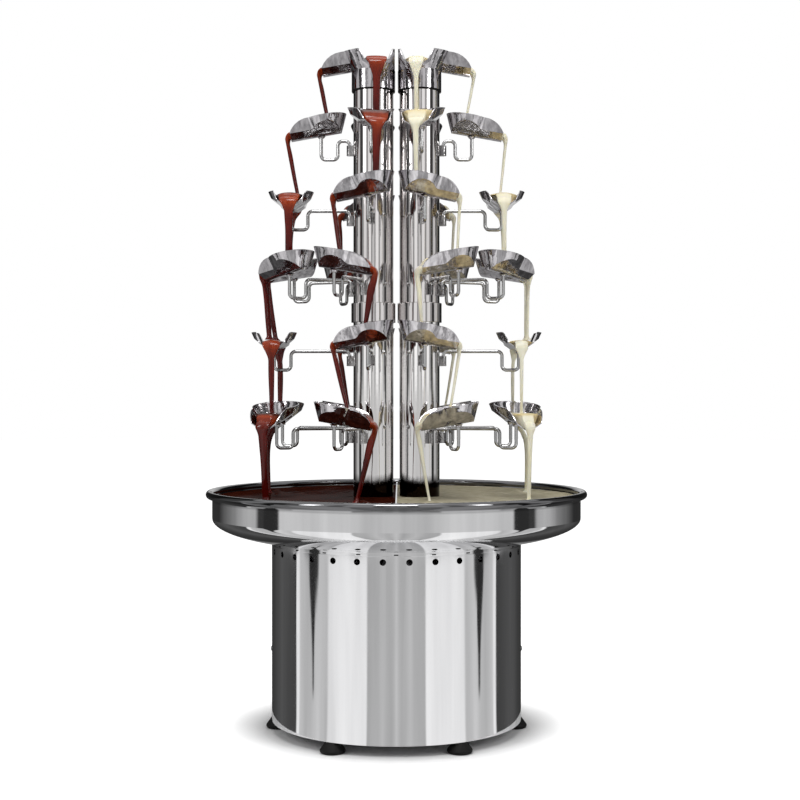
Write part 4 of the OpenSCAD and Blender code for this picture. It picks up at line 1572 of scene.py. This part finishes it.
class Streams:
    """The chocolate in the dishes and between them."""

    SHORT = 0.2 * MM
    WOBBLE = 1.7

    def __init__(self, tower: Tower, pool_z: float) -> None:
        """Keeps where the streams end.

        Args:
            tower: Where the towers and tiers are.
            pool_z: Height of the chocolate in the bowl.
        """
        self.tower = tower
        self.pool_z = pool_z
        self.ends: list[Vector] = []

    def _flows(self, station: Station, lean: float, aside: float, side: Side) -> list[Piece]:
        """Models what leaves one dish, in the left tower's frame.

        Args:
            station: The dish.
            lean: How far inside the lip its stream lands, in millimetres.
            aside: How far the first lip's stream drifts aside, in millimetres.
            side: Which tower it is for.

        Returns:
            One piece for each lip.
        """
        shape = DishShape(station.splits)
        pour = TWO_LIPS if station.splits else ONE_LIP
        place = station.place(self.tower)
        lip = shape.tilt @ Vector((shape.lip, 0, 0))
        slim = station.slim * side.slim
        lowest = station.tier == self.tower.tiers
        rest = self.pool_z if lowest else self.tower.tier(station.tier + 1) + station.catch * MM
        made = []
        for k, turn in enumerate((0.0, math.pi) if station.splits else (0.0,)):
            flow = Flow(
                shape,
                back=pour.back,
                level=station.fill * MM,
                lip=shape.lip - self.SHORT,
                floor_z=rest - place.translation.z,
                land=lip.x - lean * MM,
                dome=pour.dome,
                squeeze=pour.squeeze * station.gather * side.gather,
                tall=pour.tall,
                thick=station.thick * slim * MM,
                thin=Flow.thin * slim,
                wide=Flow.wide * slim,
                narrow=pour.narrow * slim,
                aside=aside * MM if k == 0 else 0.0,
                tone=station.tone if k == 0 else 0.0,
                wobble=station.tier * self.WOBBLE + station.heading + k,
            )
            piece = flow.build("flow")
            at = place @ Matrix.Rotation(turn, 4, "Z")
            piece.data.transform(at)
            end = at @ Vector((flow.land, 0, 0))
            if lowest and end not in self.ends:
                self.ends.append(end)
            made.append(piece)
        return made

    def dress(self, finishes: Finishes) -> list[Piece]:
        """Models the streams of each tier of each tower, at the front and at the back.

        Args:
            finishes: The finishes.

        Returns:
            The pieces.
        """
        made = []
        for side in Side:
            for tier in range(1, self.tower.tiers + 1):
                flows = []
                for station in (s for s in STATIONS if s.tier == tier):
                    for twin, lean, aside in station.runs(side):
                        for pattern in self._flows(station, lean, aside, side):
                            flows.append(Bench.copy(pattern, "flow", side.turn @ twin))
                            Bench.drop(pattern)
                stream = Bench.join(f"streams_{side.word}_{tier}", flows)
                Finishes.put(stream, finishes.melt[side])
                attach(stream, Body.MACHINE.value)
                made.append(stream)
        return made


@dataclass(frozen=True)
class Head:
    """The chocolate that wells up in a crown and leaves it by three spouts."""

    tower: Tower
    origin_z: float = 987.06 * MM
    lip: float = 76.0 * MM
    start: float = 28.0 * MM
    fill: float = 11.5 * MM
    lean: float = 7.0 * MM
    catch: float = 19.0 * MM
    squeeze: float = 0.78
    wobble: float = 0.9
    level: float = 989.6 * MM
    radius: float = 36.8 * MM
    under: float = 3.0 * MM
    flat: float = 30.8 * MM
    swell: float = 7.0 * MM
    depth: float = 5.0 * MM
    swell_power: float = 1.4
    rounds: int = 12
    steps: int = 64
    headings: Triple = (180.0, 274.5, 85.5)

    def _dome(self) -> Piece:
        """Turns the rounded pool in the cup and cuts it at the flat side.

        Returns:
            The pool.
        """
        outline = [(0.0, self.level - self.depth), (self.radius - self.under, self.level - self.depth)]
        for i in range(self.rounds + 1):
            t = 1 - i / self.rounds
            rise = (0.5 + 0.5 * math.cos(math.pi * t)) ** self.swell_power
            outline.append((self.radius * t, self.level + self.swell * rise))
        dome = Bench.lathe("head_dome", outline, self.steps)
        Bench.edit(dome)
        bpy.ops.mesh.bisect(plane_co=(self.flat, 0, 0), plane_no=(1, 0, 0), use_fill=True, clear_outer=True)
        bpy.ops.object.mode_set(mode="OBJECT")
        return dome

    def _flows(self, side: Side) -> list[Piece]:
        """Models what leaves a crown by its spouts.

        Args:
            side: Which tower it is for.

        Returns:
            One piece for each spout, round the tower's axis.
        """
        shape = DishShape(False)
        lip = shape.tilt @ Vector((self.lip, 0, shape.sheet))
        made = []
        for k, heading in enumerate(self.headings):
            flow = Flow(
                shape,
                back=self.start,
                level=self.fill,
                lip=self.lip - Streams.SHORT,
                floor_z=self.tower.tier(1) + self.catch - self.origin_z,
                land=lip.x - self.lean,
                squeeze=self.squeeze * side.gather,
                thick=Flow.thick * side.slim,
                thin=Flow.thin * side.slim,
                wide=Flow.wide * side.slim,
                narrow=Flow.narrow * side.slim,
                wobble=self.wobble * k,
            )
            piece = flow.build("flow")
            turn = Matrix.Rotation(math.radians(heading), 4, "Z")
            piece.data.transform(Matrix.Translation((0, 0, self.origin_z)) @ turn)
            made.append(piece)
        return made

    def dress(self, finishes: Finishes) -> list[Piece]:
        """Models each crown's chocolate in the left tower's frame, and mirrors the right one's.

        Args:
            finishes: The finishes.

        Returns:
            The pieces.
        """
        made = []
        for side, body in CROWNS:
            head = Bench.join(f"head_{side.word}", [self._dome(), *self._flows(side)])
            head.data.transform(Matrix.Translation((-self.tower.axis_x, 0, 0)))
            if side is Side.RIGHT:
                head.data.transform(side.turn)
                head.data.flip_normals()
            Bench.smooth(head)
            Finishes.put(head, finishes.melt[side])
            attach(head, body.value)
            made.append(head)
        return made


@dataclass(frozen=True)
class SleeveShadowRing:
    """A black ring under a crown's sleeve, put where the sleeve's lower edge casts a thin shadow line:
    painted shade.
    """

    tower: Tower
    middle: float = 31.3 * MM
    thick: float = 1.0 * MM
    wide: float = 1.2
    square: float = 0.6
    high: float = 952.2 * MM
    sides: int = 16
    steps: int = 64

    def _section(self) -> list[Pair]:
        """Draws the ring's section, with its outer face pressed flat.

        Returns:
            Its points.
        """
        points = []
        for i in range(self.sides + 1):
            a = i * math.tau / self.sides
            out = math.copysign(abs(math.cos(a)) ** self.square, math.cos(a))
            points.append((self.middle + self.wide * self.thick * out, self.high + self.thick * math.sin(a)))
        return points

    def dress(self, finishes: Finishes) -> list[Piece]:
        """Moulds one ring under each crown, as a painted shadow line.

        Args:
            finishes: The finishes.

        Returns:
            The rings.
        """
        made = []
        for side, body in CROWNS:
            axis = (side.value * self.tower.axis_x, 0.0)
            ring = Bench.lathe(f"crown_shadow_ring_{side.word}", self._section(), self.steps, axis)
            Bench.smooth(ring)
            Finishes.put(ring, finishes.rubber)
            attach(ring, body.value)
            made.append(ring)
        return made


@dataclass(frozen=True)
class Pointer:
    """The white line on a heat knob's face."""

    long: float = 9.0 * MM
    wide: float = 2.0 * MM
    proud: float = 0.35 * MM
    soft_edge: float = 0.3 * MM
    from_rim: float = 1.5 * MM
    sharp: float = 40.0

    def dress(self, finishes: Finishes) -> list[Piece]:
        """Sets a rounded bar on each knob, pointing up at rest.

        Args:
            finishes: The finishes.

        Returns:
            The bars.
        """
        made = []
        size = (self.wide, 2 * self.proud, self.long)
        for body in (Body.KNOB_LEFT, Body.KNOB_RIGHT):
            low, high = (Vector(corner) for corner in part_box(body.value))
            spot = Vector(((low.x + high.x) / 2, high.y, high.z - self.from_rim - self.long / 2))
            Bench.clear()
            bpy.ops.mesh.primitive_cube_add(size=1.0, location=spot, scale=size)
            bpy.ops.object.transform_apply(location=True, rotation=True, scale=True)
            bar = Bench.named(f"{body.value}_pointer")
            Bench.finish(bar, "BEVEL", width=self.soft_edge, segments=3, limit_method="ANGLE")
            Bench.smooth(bar, self.sharp)
            Finishes.put(bar, finishes.seal)
            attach(bar, body.value)
            made.append(bar)
        return made


@dataclass
class Pool:
    """The chocolate in one half of the bowl, with mounds and ripples where streams land."""

    tower: Tower
    level: float = 345.0 * MM
    radius: float = 272.7 * MM
    divider: float = 1.15 * MM
    depth: float = 6.0 * MM
    gap: float = 0.1 * MM
    mound: float = 2.6 * MM
    mound_reach: float = 9.0 * MM
    ripple: float = 0.55 * MM
    ripple_reach: float = 26.0 * MM
    ripple_long: float = 3.2 * MM
    swell: float = 0.35 * MM
    swell_turns: Pair = (52.0, 41.0)
    swell_start: float = 1.3
    climb: float = 1.6 * MM
    climb_reach: float = 3.0 * MM
    flat_share: float = 0.35
    facing: float = 1e-6
    around: int = 200
    outwards: int = 70
    ends: Sequence[Vector] = ()

    def _edge(self, angle: float) -> float:
        """Distance from the tower's axis to the pool's edge.

        Args:
            angle: The direction, from +X.

        Returns:
            The distance.
        """
        c = math.cos(angle)
        x = -self.tower.axis_x
        reach = -x * c + math.sqrt(max(0.0, (x * c) ** 2 - x * x + self.radius**2))
        return min(reach, (self.tower.axis_x - self.divider) / c) if c > self.facing else reach

    def _height(self, x: float, y: float) -> float:
        """Height of the surface over its level.

        Args:
            x: Place across.
            y: Place towards the back.

        Returns:
            The height of mounds, ripples and the slow swell together.
        """
        z = 0.0
        for end in self.ends:
            for flip in (1, -1):
                away = math.hypot(x - end.x, y - flip * end.y)
                z += self.mound * math.exp(-((away / self.mound_reach) ** 2))
                z += self.ripple * math.exp(-away / self.ripple_reach) * math.cos(away / self.ripple_long)
        turn_x, turn_y = self.swell_turns
        return z + self.swell * math.sin(x * turn_x + self.swell_start) * math.sin(y * turn_y)

    def _point(self, u: float, v: float) -> Vector:
        """Place on the surface, which climbs a little at the bowl and the tube.

        Args:
            u: Round the tower, first along the divider.
            v: Outwards.

        Returns:
            The place.
        """
        corner = math.atan2(self.radius, self.tower.axis_x - self.divider)
        if u < self.flat_share:
            angle = -corner + 2 * corner * u / self.flat_share
        else:
            angle = corner + (math.tau - 2 * corner) * (u - self.flat_share) / (1 - self.flat_share)
        near = self.tower.tube_r + self.gap
        far = self._edge(angle)
        away = near + (far - near) * v
        x, y = -self.tower.axis_x + away * math.cos(angle), away * math.sin(angle)
        lift = sum(self.climb * math.exp(-off / self.climb_reach) for off in (far - away, away - near))
        return Vector((x, y, self.level + self._height(x, y) + lift))

    def dress(self, finishes: Finishes) -> list[Piece]:
        """Models the left pool and mirrors it to the right.

        Args:
            finishes: The finishes.

        Returns:
            Both pools.
        """
        left = Bench.grid("pool_left", self.around, self.outwards, self._point)
        Bench.close(left)
        if left.data.polygons[0].normal.z < 0:
            left.data.flip_normals()
        Bench.edit(left)
        bpy.ops.mesh.extrude_region_move(TRANSFORM_OT_translate={"value": (0.0, 0.0, -self.depth)})
        Bench.close(left)
        Bench.smooth(left)
        pieces = {Side.LEFT: left, Side.RIGHT: Bench.copy(left, "pool_right", MIRROR_X)}
        for side, piece in pieces.items():
            Finishes.put(piece, finishes.pool[side])
            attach(piece, Body.MACHINE.value)
        return list(pieces.values())


@dataclass(frozen=True)
class Cove:
    """White cards and dark flags that stand round the fountain and show only in its polish.

    Each band list gives brightness at degrees away from the camera's side, the same to the left and right.
    Pairs with the word over are where one list gives way to the next, by distance from the axis or by height.
    """

    inner: float = 0.24
    outer: float = 3.3
    turn: float = 0.4
    top: float = 3.2
    lift: float = 1.5 * MM
    bend_steps: int = 8
    steps: int = 180
    drum: float = 0.186
    closest: float = 0.995
    rounds: int = 3
    floor: Bands = (
        (0.0, 0.64), (2.0, 0.54), (4.0, 0.48), (12.0, 0.60), (17.0, 0.53), (25.5, 0.45), (26.5, 0.96),
        (45.0, 1.02), (63.0, 0.94), (65.0, 0.58), (74.0, 0.70), (88.0, 0.53), (97.0, 0.62), (98.5, 0.94),
        (101.0, 0.94), (102.5, 0.06), (128.0, 0.10), (150.0, 0.05), (168.0, 0.03), (174.0, 0.30),
        (180.0, 0.4),
    )
    low: Bands = (
        (0.0, 0.60), (18.0, 0.58), (40.0, 0.70), (64.0, 0.66), (76.0, 0.60), (79.0, 0.05), (88.0, 0.045),
        (91.0, 0.50), (103.0, 0.46), (112.0, 0.26), (126.0, 0.12), (136.0, 0.03), (168.0, 0.03),
        (174.0, 0.20), (180.0, 0.3),
    )
    high: Bands = (
        (0.0, 0.70), (6.0, 0.68), (7.0, 0.30), (12.0, 0.32), (13.0, 0.98), (29.0, 1.05), (30.0, 0.42),
        (38.0, 0.38), (39.5, 0.92), (54.0, 1.0), (56.0, 0.42), (64.0, 0.46), (66.0, 0.06), (80.0, 0.05),
        (83.0, 0.74), (100.0, 0.80), (103.0, 0.22), (122.0, 0.16), (128.0, 0.02), (160.0, 0.02),
        (168.0, 0.65), (180.0, 0.8),
    )
    low_over: Pair = (2.5, 3.0)
    high_over: Pair = (0.42, 0.60)
    flag_at: float = 80.0
    flag_half: float = 5.0
    flag_widens: Pair = (0.5, 2.4)
    flag_over: Pair = (0.45, 0.62)
    flag_edge: float = 0.012
    flag_grey: float = 0.03

    @staticmethod
    def _greys(bands: Bands) -> Stops:
        """Ramp stops over half a turn away from the camera's side."""
        return tuple((degrees / 180.0, (grey, grey, grey)) for degrees, grey in bands)

    def _mirrored(self, shader: Shader, aside: Socket, away: Socket) -> Socket:
        """Finds which way the drum's wall faces where a place of the floor is mirrored in it.

        Args:
            shader: The cards' material.
            aside: The place's angle from the camera's side.
            away: Its distance from the axis.

        Returns:
            The wall's angle from the camera's side.
        """
        close = shader.reckon("MINIMUM", shader.reckon("DIVIDE", self.drum, away), self.closest)
        face = shader.reckon("DIVIDE", aside, shader.reckon("SUBTRACT", 2.0, close))
        for _ in range(self.rounds):
            seen = shader.reckon("ARCSINE", shader.reckon("MULTIPLY", close, shader.reckon("SINE", face)))
            face = shader.reckon("MULTIPLY", shader.reckon("ADD", aside, seen), 0.5)
        return face

    def _paint(self) -> bpy.types.Material:
        """Makes the cards' glow: floor near the drum, low wall for the bowl, high wall for the tubes.

        Returns:
            The material.
        """
        shader = Shader("cove")
        split = shader.node("SeparateXYZ", {"Vector": shader.place})
        x, y, z = (split.outputs[axis] for axis in "XYZ")
        squares = (shader.reckon("MULTIPLY", side, side) for side in (x, y))
        away = shader.reckon("SQRT", shader.reckon("ADD", *squares))
        aside = shader.reckon("ARCTAN2", shader.reckon("ABSOLUTE", x), shader.reckon("MULTIPLY", y, -1.0))
        turn = shader.reckon("DIVIDE", aside, math.pi)
        near = shader.reckon("DIVIDE", self._mirrored(shader, aside, away), math.pi / 2)
        floor, low = shader.ramp(near, self._greys(self.floor)), shader.ramp(turn, self._greys(self.low))
        glow = shader.mix(shader.span(away, (*self.low_over, 0.0, 1.0), smooth=True), floor, low)
        off = shader.reckon("ABSOLUTE", shader.reckon("SUBTRACT", near, self.flag_at / 180.0))
        wide = shader.span(away, (*self.flag_widens, 0.0, self.flag_half / 180.0), smooth=True)
        soft = shader.reckon("ADD", wide, self.flag_edge)
        flag = shader.span(off, (wide, soft, 1.0, 0.0), smooth=True)
        stands = shader.span(away, (*self.flag_over, 0.0, 1.0), smooth=True)
        grey = (self.flag_grey, self.flag_grey, self.flag_grey, 1.0)
        glow = shader.mix(shader.reckon("MULTIPLY", flag, stands), glow, grey)
        high = shader.ramp(turn, self._greys(self.high))
        glow = shader.mix(shader.span(z, (*self.high_over, 0.0, 1.0), smooth=True), glow, high)
        light = shader.node("Emission", {"Color": glow})
        shader.feed(shader.first("OUTPUT_MATERIAL").inputs["Surface"], light.outputs["Emission"])
        return shader.material

    def dress(self) -> None:
        """Turns the cove and hides it from the camera."""
        bend = [
            (self.outer - self.turn + self.turn * math.sin(a), self.lift + self.turn * (1 - math.cos(a)))
            for a in (i * math.pi / (2 * self.bend_steps) for i in range(self.bend_steps + 1))
        ]
        outline = [(self.inner, self.lift), *bend, (self.outer, self.top)]
        cove = Bench.lathe("cove", outline, self.steps)
        Bench.smooth(cove)
        Finishes.put(cove, self._paint())
        cove.visible_camera = False
        cove.visible_diffuse = False
        cove.visible_shadow = False


@dataclass(frozen=True)
class Lamp:
    """A soft lamp aimed at the fountain's axis.

    Attributes:
        name: The lamp's name.
        azimuth: Degrees from the camera's side, towards +X.
        away: Distance from the axis.
        high: Height of the lamp.
        size: Width and height.
        power: Watts.
        aim: Height of the point it faces.
    """

    name: str
    azimuth: float
    away: float
    high: float
    size: Pair
    power: float
    aim: float = 0.6

    def hang(self) -> None:
        """Hangs the lamp in the scene."""
        data = bpy.data.lights.new(self.name, "AREA")
        data.shape = "RECTANGLE"
        data.size, data.size_y = self.size
        data.energy = self.power
        lamp = bpy.data.objects.new(self.name, data)
        a = math.radians(self.azimuth)
        lamp.location = (self.away * math.sin(a), -self.away * math.cos(a), self.high)
        way = Vector((0.0, 0.0, self.aim)) - lamp.location
        lamp.rotation_euler = way.to_track_quat("-Z", "Y").to_euler()
        bpy.context.scene.collection.objects.link(lamp)


LAMPS = (
    Lamp("softbox_left", -52.0, 2.5, 1.7, (0.45, 1.1), 13.0),
    Lamp("softbox_right", 52.0, 2.5, 1.7, (0.45, 1.1), 13.0),
    Lamp("front_softbox", 0.0, 1.5, 2.7, (0.9, 0.8), 29.0),
    Lamp("overhead", 180.0, 0.3, 2.9, (1.2, 1.2), 10.0, aim=0.0),
)


@dataclass(frozen=True)
class Studio:
    """Floor, light and camera round the fountain."""

    away: float = 2.145
    eye: float = 0.498
    aside: float = 0.00525
    lens: float = 64.4
    sensor: float = 36.0
    horizon: float = -0.00625
    ambient: float = 0.30
    floor_r: float = 14.0
    floor_sides: int = 96
    floor_grey: float = 0.94
    # Emission seen by the camera grows from the drum's edge outwards: painted light that washes out the
    # floor's shadow beyond a short reach.
    floor_lift: Pair = (0.0, 0.84)
    floor_reach: Pair = (0.195, 0.28)

    def _camera(self) -> None:
        """Sets the camera level, at the height and distance of the picture."""
        data = bpy.data.cameras.new("camera")
        data.lens = self.lens
        data.sensor_width = self.sensor
        data.shift_y = self.horizon
        camera = bpy.data.objects.new("camera", data)
        camera.location = (self.aside, -self.away, self.eye)
        camera.rotation_euler = (math.pi / 2, 0.0, 0.0)
        bpy.context.scene.collection.objects.link(camera)
        bpy.context.scene.camera = camera

    def _world(self) -> None:
        """A plain white surround, softer as light than as background."""
        world = bpy.data.worlds.new("surround")
        bpy.context.scene.world = world
        world.use_nodes = True
        board = Board(world.node_tree)
        white = (1.0, 1.0, 1.0, 1.0)
        light = board.first("BACKGROUND")
        light.inputs["Color"].default_value = white
        light.inputs["Strength"].default_value = self.ambient
        seen = board.node("Background", {"Color": white, "Strength": 1.0})
        path = board.node("LightPath", {}).outputs
        direct = board.reckon("MAXIMUM", path["Is Camera Ray"], path["Is Glossy Ray"])
        shown = board.reckon("MAXIMUM", direct, path["Is Transmission Ray"])
        mix = board.node(
            "MixShader", {"Fac": shown, 1: light.outputs["Background"], 2: seen.outputs["Background"]}
        )
        board.feed(board.first("OUTPUT_WORLD").inputs["Surface"], mix.outputs["Shader"])

    def _floor(self) -> None:
        """A wide pale floor that is white to the camera, with painted light that keeps the shadow only close
        to the drum.
        """
        Bench.clear()
        bpy.ops.mesh.primitive_circle_add(vertices=self.floor_sides, radius=self.floor_r, fill_type="NGON")
        floor = Bench.named("floor")
        shader = Shader("pale_floor")
        grey = (self.floor_grey, self.floor_grey, self.floor_grey, 1.0)
        shader.set(Base_Color=grey, Roughness=0.9, Specular_IOR_Level=0.0)
        away = shader.node("VectorMath", {0: shader.place}, operation="LENGTH").outputs["Value"]
        # Painted light: emission for the camera that grows with distance from the axis.
        lift = shader.node("Emission", {"Strength": shader.span(away, (*self.floor_reach, *self.floor_lift))})
        plain = shader.main.outputs["BSDF"]
        both = shader.node("AddShader", {0: plain, 1: lift.outputs["Emission"]})
        shown = shader.node("LightPath", {}).outputs["Is Camera Ray"]
        mix = shader.node("MixShader", {"Fac": shown, 1: plain, 2: both.outputs["Shader"]})
        shader.feed(shader.first("OUTPUT_MATERIAL").inputs["Surface"], mix.outputs["Shader"])
        Finishes.put(floor, shader.material)

    def dress(self) -> None:
        """Builds the studio."""
        bpy.context.scene.view_settings.view_transform = "Standard"
        self._camera()
        self._world()
        self._floor()
        Cove().dress()
        for lamp in LAMPS:
            lamp.hang()


class Fountain:
    """The whole machine: solids that keep their shape, and the pieces that stand for the rest."""

    def __init__(self) -> None:
        """Makes the finishes."""
        self.finishes = Finishes()
        self.tower = Tower()

    def dress_solids(self) -> None:
        """Gives every solid the finish that the start of its name calls for."""
        words = self.finishes.by_word
        for name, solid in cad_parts.items():
            word = next((w for w in words if name.startswith(w)), None)
            Finishes.put(solid, words[word] if word else self.finishes.mirror)

    def build(self) -> None:
        """Builds the pieces in order and reports each."""
        self.dress_solids()
        streams = Streams(self.tower, Pool.level)
        made = [Bowl().dress(self.finishes), *Dishes(self.tower).dress(self.finishes)]
        made += streams.dress(self.finishes)
        made += Head(self.tower).dress(self.finishes)
        made += SleeveShadowRing(self.tower).dress(self.finishes)
        made += Pointer().dress(self.finishes)
        made += Pool(self.tower, ends=streams.ends).dress(self.finishes)
        for piece in made:
            LOG.info("%s: %d faces", piece.name, len(piece.data.polygons))


def main() -> None:
    """Builds the studio and the fountain."""
    logging.basicConfig(level=logging.INFO, format="%(message)s")
    Studio().dress()
    Fountain().build()
    Bench.clear()


if __name__ == "__main__":
    main()
